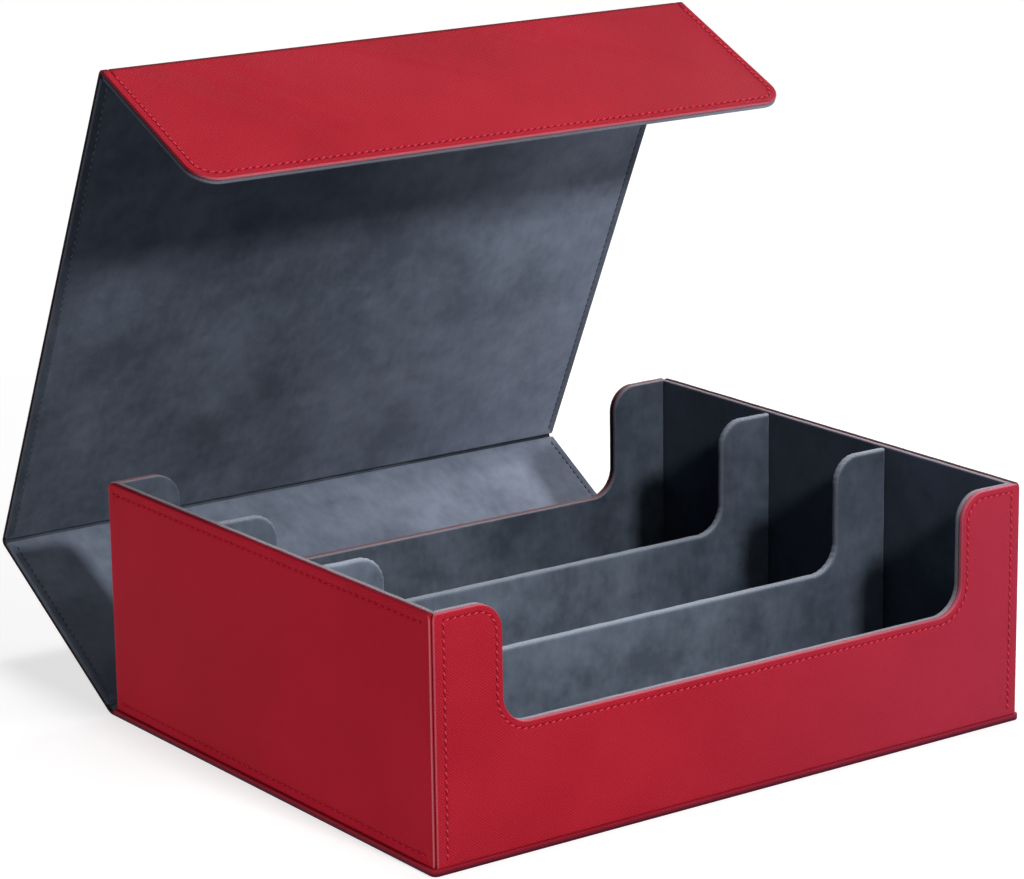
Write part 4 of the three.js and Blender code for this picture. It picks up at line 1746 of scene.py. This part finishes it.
@dataclass(frozen=True)
class FoldStrip:
    """The strips of leatherette and suede that bend over one fold, between two panels of the cover.

    From the fold's line it is the tangent to where the bend starts, and half the gap to each panel. The
    crease's place, half width and ease are shares of the way over the fold.
    """

    name: str
    before: CoverPanel
    after: CoverPanel
    hinge: Hinge
    bend: float
    half_gap: float
    tangent: float
    crease_at: float = 0.5
    crease_half: float = 0.26
    crease_ease: float = 0.14
    # Painted shade in the crease of the fold, on the leatherette and on the lining.
    crease_dark: float = 0.65
    lining_crease: float = 0.2
    soft: float = 0.2 * MM
    bend_steps: int = 24

    def path(self) -> tuple[Array, Array]:
        """Follows the line midway through the leather: straight, round an arc, and straight again.

        Returns:
            The points and the inward directions, each as points by Y and Z in the frame of the panel
            before.
        """
        radius = self.tangent / math.tan(self.bend / 2.0)
        turn = np.linspace(0.0, self.bend, self.bend_steps + 1)
        arc = np.stack([-radius + radius * np.cos(turn), -self.tangent + radius * np.sin(turn)], axis=-1)
        end = self.half_gap * np.array([-math.sin(self.bend), math.cos(self.bend)])
        angle = np.concatenate([[0.0], turn, [self.bend]])
        inward = -np.stack([np.cos(angle), np.sin(angle)], axis=-1)
        return np.concatenate([[[0.0, -self.half_gap]], arc, [end]]), inward

    def swept(self, section: Array, across: Array, edge: Array, groove: Array, crease: float) -> Surface:
        """Carries a section along the path, with its depth along the inward direction.

        Args:
            section: The section's closed line, as points by X and depth.
            across: Each section point's place across the flat sheet.
            edge: How far each section point takes the scuffed colour with its painted highlight.
            groove: How far painted shade darkens each section point, from 0 to 1.
            crease: How dark the painted shade in the middle of the fold is, from 0 to 1.

        Returns:
            The strip's surface.
        """
        points, inward = self.path()
        gone = gone_along(points)
        offset = section[None, :, 1] - self.before.goods.leather / 2.0
        in_y = points[:, None, 0] + inward[:, None, 0] * offset
        in_z = points[:, None, 1] + inward[:, None, 1] * offset
        in_x = np.broadcast_to(-section[None, :, 0], in_y.shape)
        along = gone[:, None] + self.before.sheet_place + self.before.end
        sheet = np.stack([np.broadcast_to(across, in_y.shape), np.broadcast_to(along, in_y.shape)], axis=-1)
        # Painted shade in the crease.
        from_crease = np.abs(gone / gone[-1] - self.crease_at)
        folded = crease * smooth_step((self.crease_half - from_crease) / self.crease_ease)[:, None]
        dark = np.maximum(groove[None, :], folded)
        return Surface(np.stack([in_x, in_y, in_z], axis=-1), sheet, edge * np.ones_like(dark), dark)

    def leather(self) -> Surface:
        """Draws the leatherette: the panels' own section, both turned sides with the face between them.

        Returns:
            The strip's surface.
        """
        turning = self.after.turning()
        rows = turning.turned()
        half = self.before.width / 2.0
        right = np.stack([half - rows[:, 0], rows[:, 1]], axis=-1)
        across = half - unrolled(rows)
        # The strip's sides: a scuffed colour with a painted highlight, and painted shade, as on the panels'
        # upright edges.
        near = turning.edge_scuff_and_light.upright_scuff_and_highlight * turning.nearness()
        dark = turning.edge_scuff_and_light.upright_dark * turning.darkness()
        return self.swept(
            np.concatenate([right, right[::-1] * np.array([-1.0, 1.0])]),
            np.concatenate([across, -across[::-1]]),
            np.concatenate([near, near[::-1]]),
            np.concatenate([dark, dark[::-1]]),
            self.crease_dark,
        )

    def lining(self) -> Surface:
        """Draws the suede: a flat band close inside the leatherette, held between its turned lips.

        Returns:
            The strip's surface.
        """
        goods, soft = self.before.goods, self.soft
        outer = goods.leather + goods.glue
        inner = outer + goods.suede
        half = self.before.width / 2.0 - goods.leather - goods.glue
        right = np.array([
            [half - soft, outer], [half, outer + soft], [half, inner - soft], [half - soft, inner],
        ])
        section = np.concatenate([right, right[::-1] * np.array([-1.0, 1.0])])
        none = np.zeros(len(section))
        return self.swept(section, section[:, 0], none, none, self.lining_crease)

    def build(self, workshop: Workshop) -> None:
        """Makes both strips, which bend between the two panels' bodies.

        Args:
            workshop: Where the pieces are made.
        """
        upright = Matrix.Rotation(self.before.turn, 4, "X")
        place = Matrix.Translation((0.0, self.hinge.y, self.hinge.z)) @ upright
        strips = (
            ("leatherette", self.leather(), Finish.COVER, "leather"),
            ("suede", self.lining(), Finish.DARKER_SUEDE, "lining"),
        )
        for kind, surface, finish, node in strips:
            mesh = surface.mesh(f"{self.name}_{kind}", place)
            strip = workshop.add_piece(mesh, finish, f"{self.name}_{node}")
            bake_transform(strip)


@dataclass(frozen=True)
class Cover:
    """The long cover: the base under the tray, its back, its top and the flap, with a fold between each."""

    half_gap: float = 3.8 * MM
    straight: float = 0.9 * MM
    fit: float = 0.3 * MM
    flap_length: float = 89.5 * MM
    flap_fold: float = 90.0
    flap_radius: float = 13.0 * MM
    base_radius: float = 3.0 * MM

    def hinges(self) -> list[Hinge]:
        """Reads the three folds' lines from the frame's joints."""
        return [Hinge(joint["pos_m"][1], joint["pos_m"][2]) for joint in frame["joints"]]

    def panels(self) -> list[CoverPanel]:
        """Hangs the four panels on their folds.

        Returns:
            The base, the back cover, the top cover and the flap.
        """
        rear, top, front = self.hinges()
        back_turn, back_length = rear.towards(top)
        top_turn, top_length = top.towards(front)
        base_low, base_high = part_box("base_leather")
        width = base_high.x - base_low.x
        gap = self.half_gap
        free, fold = Edge.SEWN, Edge.FOLD
        return [
            CoverPanel(
                "base", "tray", rear, math.radians(-90.0), base_low.y - rear.y, -gap, width,
                free, fold, self.base_radius, 0.0, red=Finish.BASE,
                stitching=Stitching(radius=0.28 * MM, groove_depth=0.56 * MM),
                # The base's turned-in lip takes less of the edge's painted shade.
                leather_lip=3.05 * MM, turn_in=7.0 * MM, lip_near=0.2,
            ),
            CoverPanel(
                "back_cover", "back_cover", rear, back_turn, gap, back_length - gap, width,
                fold, fold, 0.0, 0.0, suede=Finish.UP,
                # The back cover's lining: painted shade on its upright edges, and lighter painted shade on
                # its band and pressed groove.
                lining_scuff_and_light=EdgeScuffAndLight(upright_dark=0.6), band_dark=0.2, pressed_dark=0.2,
            ),
            CoverPanel(
                "top_cover", "top_cover", top, top_turn, gap, top_length - gap, width,
                fold, fold, 0.0, back_length, suede=Finish.LID_SUEDE,
            ),
            CoverPanel(
                "flap", "front_flap", front, top_turn + math.radians(self.flap_fold), gap, self.flap_length,
                width, fold, free, self.flap_radius, back_length + top_length,
                # The flap's edges: a scuffed colour with a painted highlight along its front edge, and
                # painted shade along its sides.
                red=Finish.FLAP, suede=Finish.LID_SUEDE, edge_scuff_and_light=EdgeScuffAndLight(level_scuff_and_highlight=0.6, upright_dark=0.85),
                lining_scuff_and_light=EdgeScuffAndLight(level_scuff_and_highlight=0.5, upright_scuff_and_highlight=0.1, level_dark=0.2, upright_dark=0.6),
                band_dark=0.0,
            ),
        ]

    def folds(self, panels: list[CoverPanel]) -> list[FoldStrip]:
        """Puts a strip over each fold, between the panels before and after it.

        Args:
            panels: The four panels in order.

        Returns:
            The strips.
        """
        names, creases = ("rear_fold", "top_fold", "front_fold"), (0.5, 0.5, 0.68)
        tangent = self.half_gap - self.fit - self.straight
        return [
            FoldStrip(name, before, after, hinge, after.turn - before.turn, self.half_gap, tangent, crease)
            for name, hinge, before, after, crease in zip(names, self.hinges(), panels, panels[1:], creases)
        ]

    def build(self, workshop: Workshop) -> None:
        """Makes the panels and the strips over the folds.

        Args:
            workshop: Where the pieces are made.
        """
        panels = self.panels()
        for part in (*panels, *self.folds(panels)):
            part.build(workshop)


def finish_cores(workshop: Workshop) -> None:
    """Gives the greyboard and the magnets, which stay as the frame has them, their finishes.

    Args:
        workshop: Where the materials are made.
    """
    for name, node in frame["nodes"].items():
        if name.endswith("_board"):
            finish = Finish.BOARD
        elif "magnet" in name:
            finish = Finish.MAGNET
        else:
            continue
        for slot in node.material_slots:
            slot.material = workshop.material(finish)
        log.info("%s: finished in %s", name, finish.value.name)


@dataclass(frozen=True)
class Softbox:
    """A rectangular lamp that looks at a point of the box.

    Its level is the light that it gives there on a face square to it, where 1 shows a colour as written.
    """

    name: str
    place: tuple[float, float, float]
    width: float
    height: float
    level: float
    aim: tuple[float, float, float] = (0.0, 0.0, 0.1)

    def build(self) -> None:
        """Hangs the lamp. A small lamp of power P gives P over pi squared and the distance squared."""
        back = Vector(self.place) - Vector(self.aim)
        lamp = bpy.data.lights.new(self.name, "AREA")
        lamp.shape = "RECTANGLE"
        lamp.size, lamp.size_y = self.width, self.height
        lamp.energy = self.level * math.pi**2 * back.length_squared
        holder = bpy.data.objects.new(self.name, lamp)
        holder.location = self.place
        holder.rotation_euler = back.to_track_quat("Z", "Y").to_euler()
        bpy.context.scene.collection.objects.link(holder)


@dataclass(frozen=True)
class Studio:
    """A pale floor, soft lamps and the camera.

    The floor's own white grows from glow_near to glow_far between the distances near and far. The camera's
    azimuth is to the right of the front, and its lens comes from a focal length in the photograph's pixels.
    """

    floor_width: float = 14.0
    floor_colour: Colour = (170, 170, 170)
    floor_drop: float = 0.05 * MM
    glow_near: float = 0.72
    glow_far: float = 0.95
    near: float = 0.3
    far: float = 1.6
    room_level: float = 0.02
    camera_azimuth: float = -35.56
    camera_elevation: float = 14.6
    camera_roll: float = -0.82
    camera_distance: float = 1653.71 * MM
    camera_aim: tuple[float, float, float] = (-28.63 * MM, -2.69 * MM, 136.25 * MM)
    focal_pixels: float = 3742.47
    image_pixels: float = 1024.0
    sensor: float = 36.0
    clip: tuple[float, float] = (0.05, 50.0)

    def lamps(self) -> list[Softbox]:
        """Sets the lamps: a key and a weak high one in front, one at each side, one behind, one above.

        Returns:
            The lamps.
        """
        return [
            Softbox("key_lamp", (-0.07, -1.34, 0.92), 0.16, 0.16, 0.7),
            Softbox("high_lamp", (0.0, -1.25, 1.6), 0.5, 0.5, 0.08),
            Softbox("left_lamp", (-1.6, -0.12, 0.06), 0.9, 0.11, 0.46, (-0.16, 0.0, 0.05)),
            Softbox("right_lamp", (0.8, -0.6, 0.1), 0.3, 0.15, 0.08),
            Softbox("rear_right_lamp", (0.62, 0.2, 0.4), 0.2, 0.2, 0.65, (0.145, 0.2, 0.045)),
            Softbox("top_lamp", (0.1, 0.1, 2.4), 0.6, 0.6, 0.38),
        ]

    def seen_directly(self, nodes: Nodes) -> Socket:
        """Gives 1 for what the camera sees, also by reflection or through glass, and otherwise 0.

        Args:
            nodes: The nodes to add to.

        Returns:
            The number.
        """
        rays = nodes.add("ShaderNodeLightPath").outputs
        seen = nodes.maths("MAXIMUM", rays["Is Camera Ray"], rays["Is Glossy Ray"])
        return nodes.maths("MAXIMUM", seen, rays["Is Transmission Ray"])

    def room(self) -> None:
        """Fills the room with a little even light, which the camera sees as white."""
        world = bpy.data.worlds.new("pale_room")
        world.use_nodes = True
        nodes = Nodes(world.node_tree)
        background = nodes.add("ShaderNodeBackground")
        level = nodes.span(self.seen_directly(nodes), 0.0, 1.0, self.room_level, 1.0)
        nodes.sets(background, Color=(1.0, 1.0, 1.0, 1.0), Strength=level)
        nodes.feed(nodes.add("ShaderNodeOutputWorld").inputs[0], background.outputs[0])
        bpy.context.scene.world = world

    def floor_material(self) -> Material:
        """Makes the floor's finish: matt, with a white of its own that grows away from the box.

        Returns:
            The material.
        """
        material = bpy.data.materials.new("pale_floor")
        material.use_nodes = True
        nodes = Nodes(material.node_tree)
        matt = nodes.add("ShaderNodeBsdfDiffuse")
        nodes.sets(matt, Color=linear(self.floor_colour))
        reach = nodes.add("ShaderNodeVectorMath", operation="LENGTH")
        nodes.feed(reach.inputs[0], nodes.solid_place())
        white = nodes.span(reach.outputs["Value"], self.near, self.far, self.glow_near, self.glow_far)
        glow = nodes.add("ShaderNodeEmission")
        nodes.sets(glow, Strength=nodes.maths("MULTIPLY", self.seen_directly(nodes), white))
        both = nodes.add("ShaderNodeAddShader")
        for socket, part in zip(both.inputs, (matt, glow)):
            nodes.feed(socket, part.outputs[0])
        nodes.feed(nodes.add("ShaderNodeOutputMaterial").inputs[0], both.outputs[0])
        return material

    def floor(self) -> None:
        """Lays the pale floor, which looks nearly white and keeps the box's shadow."""
        half = self.floor_width / 2.0
        mesh = bpy.data.meshes.new("floor")
        mesh.from_pydata([(x * half, y * half, -self.floor_drop) for x, y in SQUARE], [], [(0, 1, 2, 3)])
        mesh.materials.append(self.floor_material())
        floor = bpy.data.objects.new("floor", mesh)
        bpy.context.scene.collection.objects.link(floor)

    def camera(self) -> None:
        """Stands the camera at the photograph's angle, with its slight roll."""
        azimuth, elevation = math.radians(self.camera_azimuth), math.radians(self.camera_elevation)
        back = Vector((
            math.sin(azimuth) * math.cos(elevation),
            -math.cos(azimuth) * math.cos(elevation),
            math.sin(elevation),
        ))
        right = Vector((0.0, 0.0, 1.0)).cross(back).normalized()
        turned = Matrix.Rotation(math.radians(self.camera_roll), 3, back) @ right
        camera = bpy.data.cameras.new("camera")
        camera.sensor_width = self.sensor
        camera.lens = self.focal_pixels / self.image_pixels * self.sensor
        camera.clip_start, camera.clip_end = self.clip
        holder = bpy.data.objects.new("camera", camera)
        stand = Vector(self.camera_aim) + back * self.camera_distance
        basis = Matrix((turned, back.cross(turned), back)).transposed().to_4x4()
        holder.matrix_world = Matrix.Translation(stand) @ basis
        bpy.context.scene.collection.objects.link(holder)
        bpy.context.scene.camera = holder

    def build(self) -> None:
        """Sets up the room, the floor, the lamps and the camera."""
        bpy.context.scene.view_settings.view_transform = "Standard"
        self.camera()
        self.room()
        self.floor()
        for lamp in self.lamps():
            lamp.build()


def main() -> None:
    """Builds the box from the tray to the lid, and then the studio."""
    logging.basicConfig(level=logging.INFO, format="%(message)s")
    workshop = Workshop()
    Tray(TrayPanels.from_frame()).build(workshop)
    Cover().build(workshop)
    finish_cores(workshop)
    Studio().build()


if __name__ == "__main__":
    main()
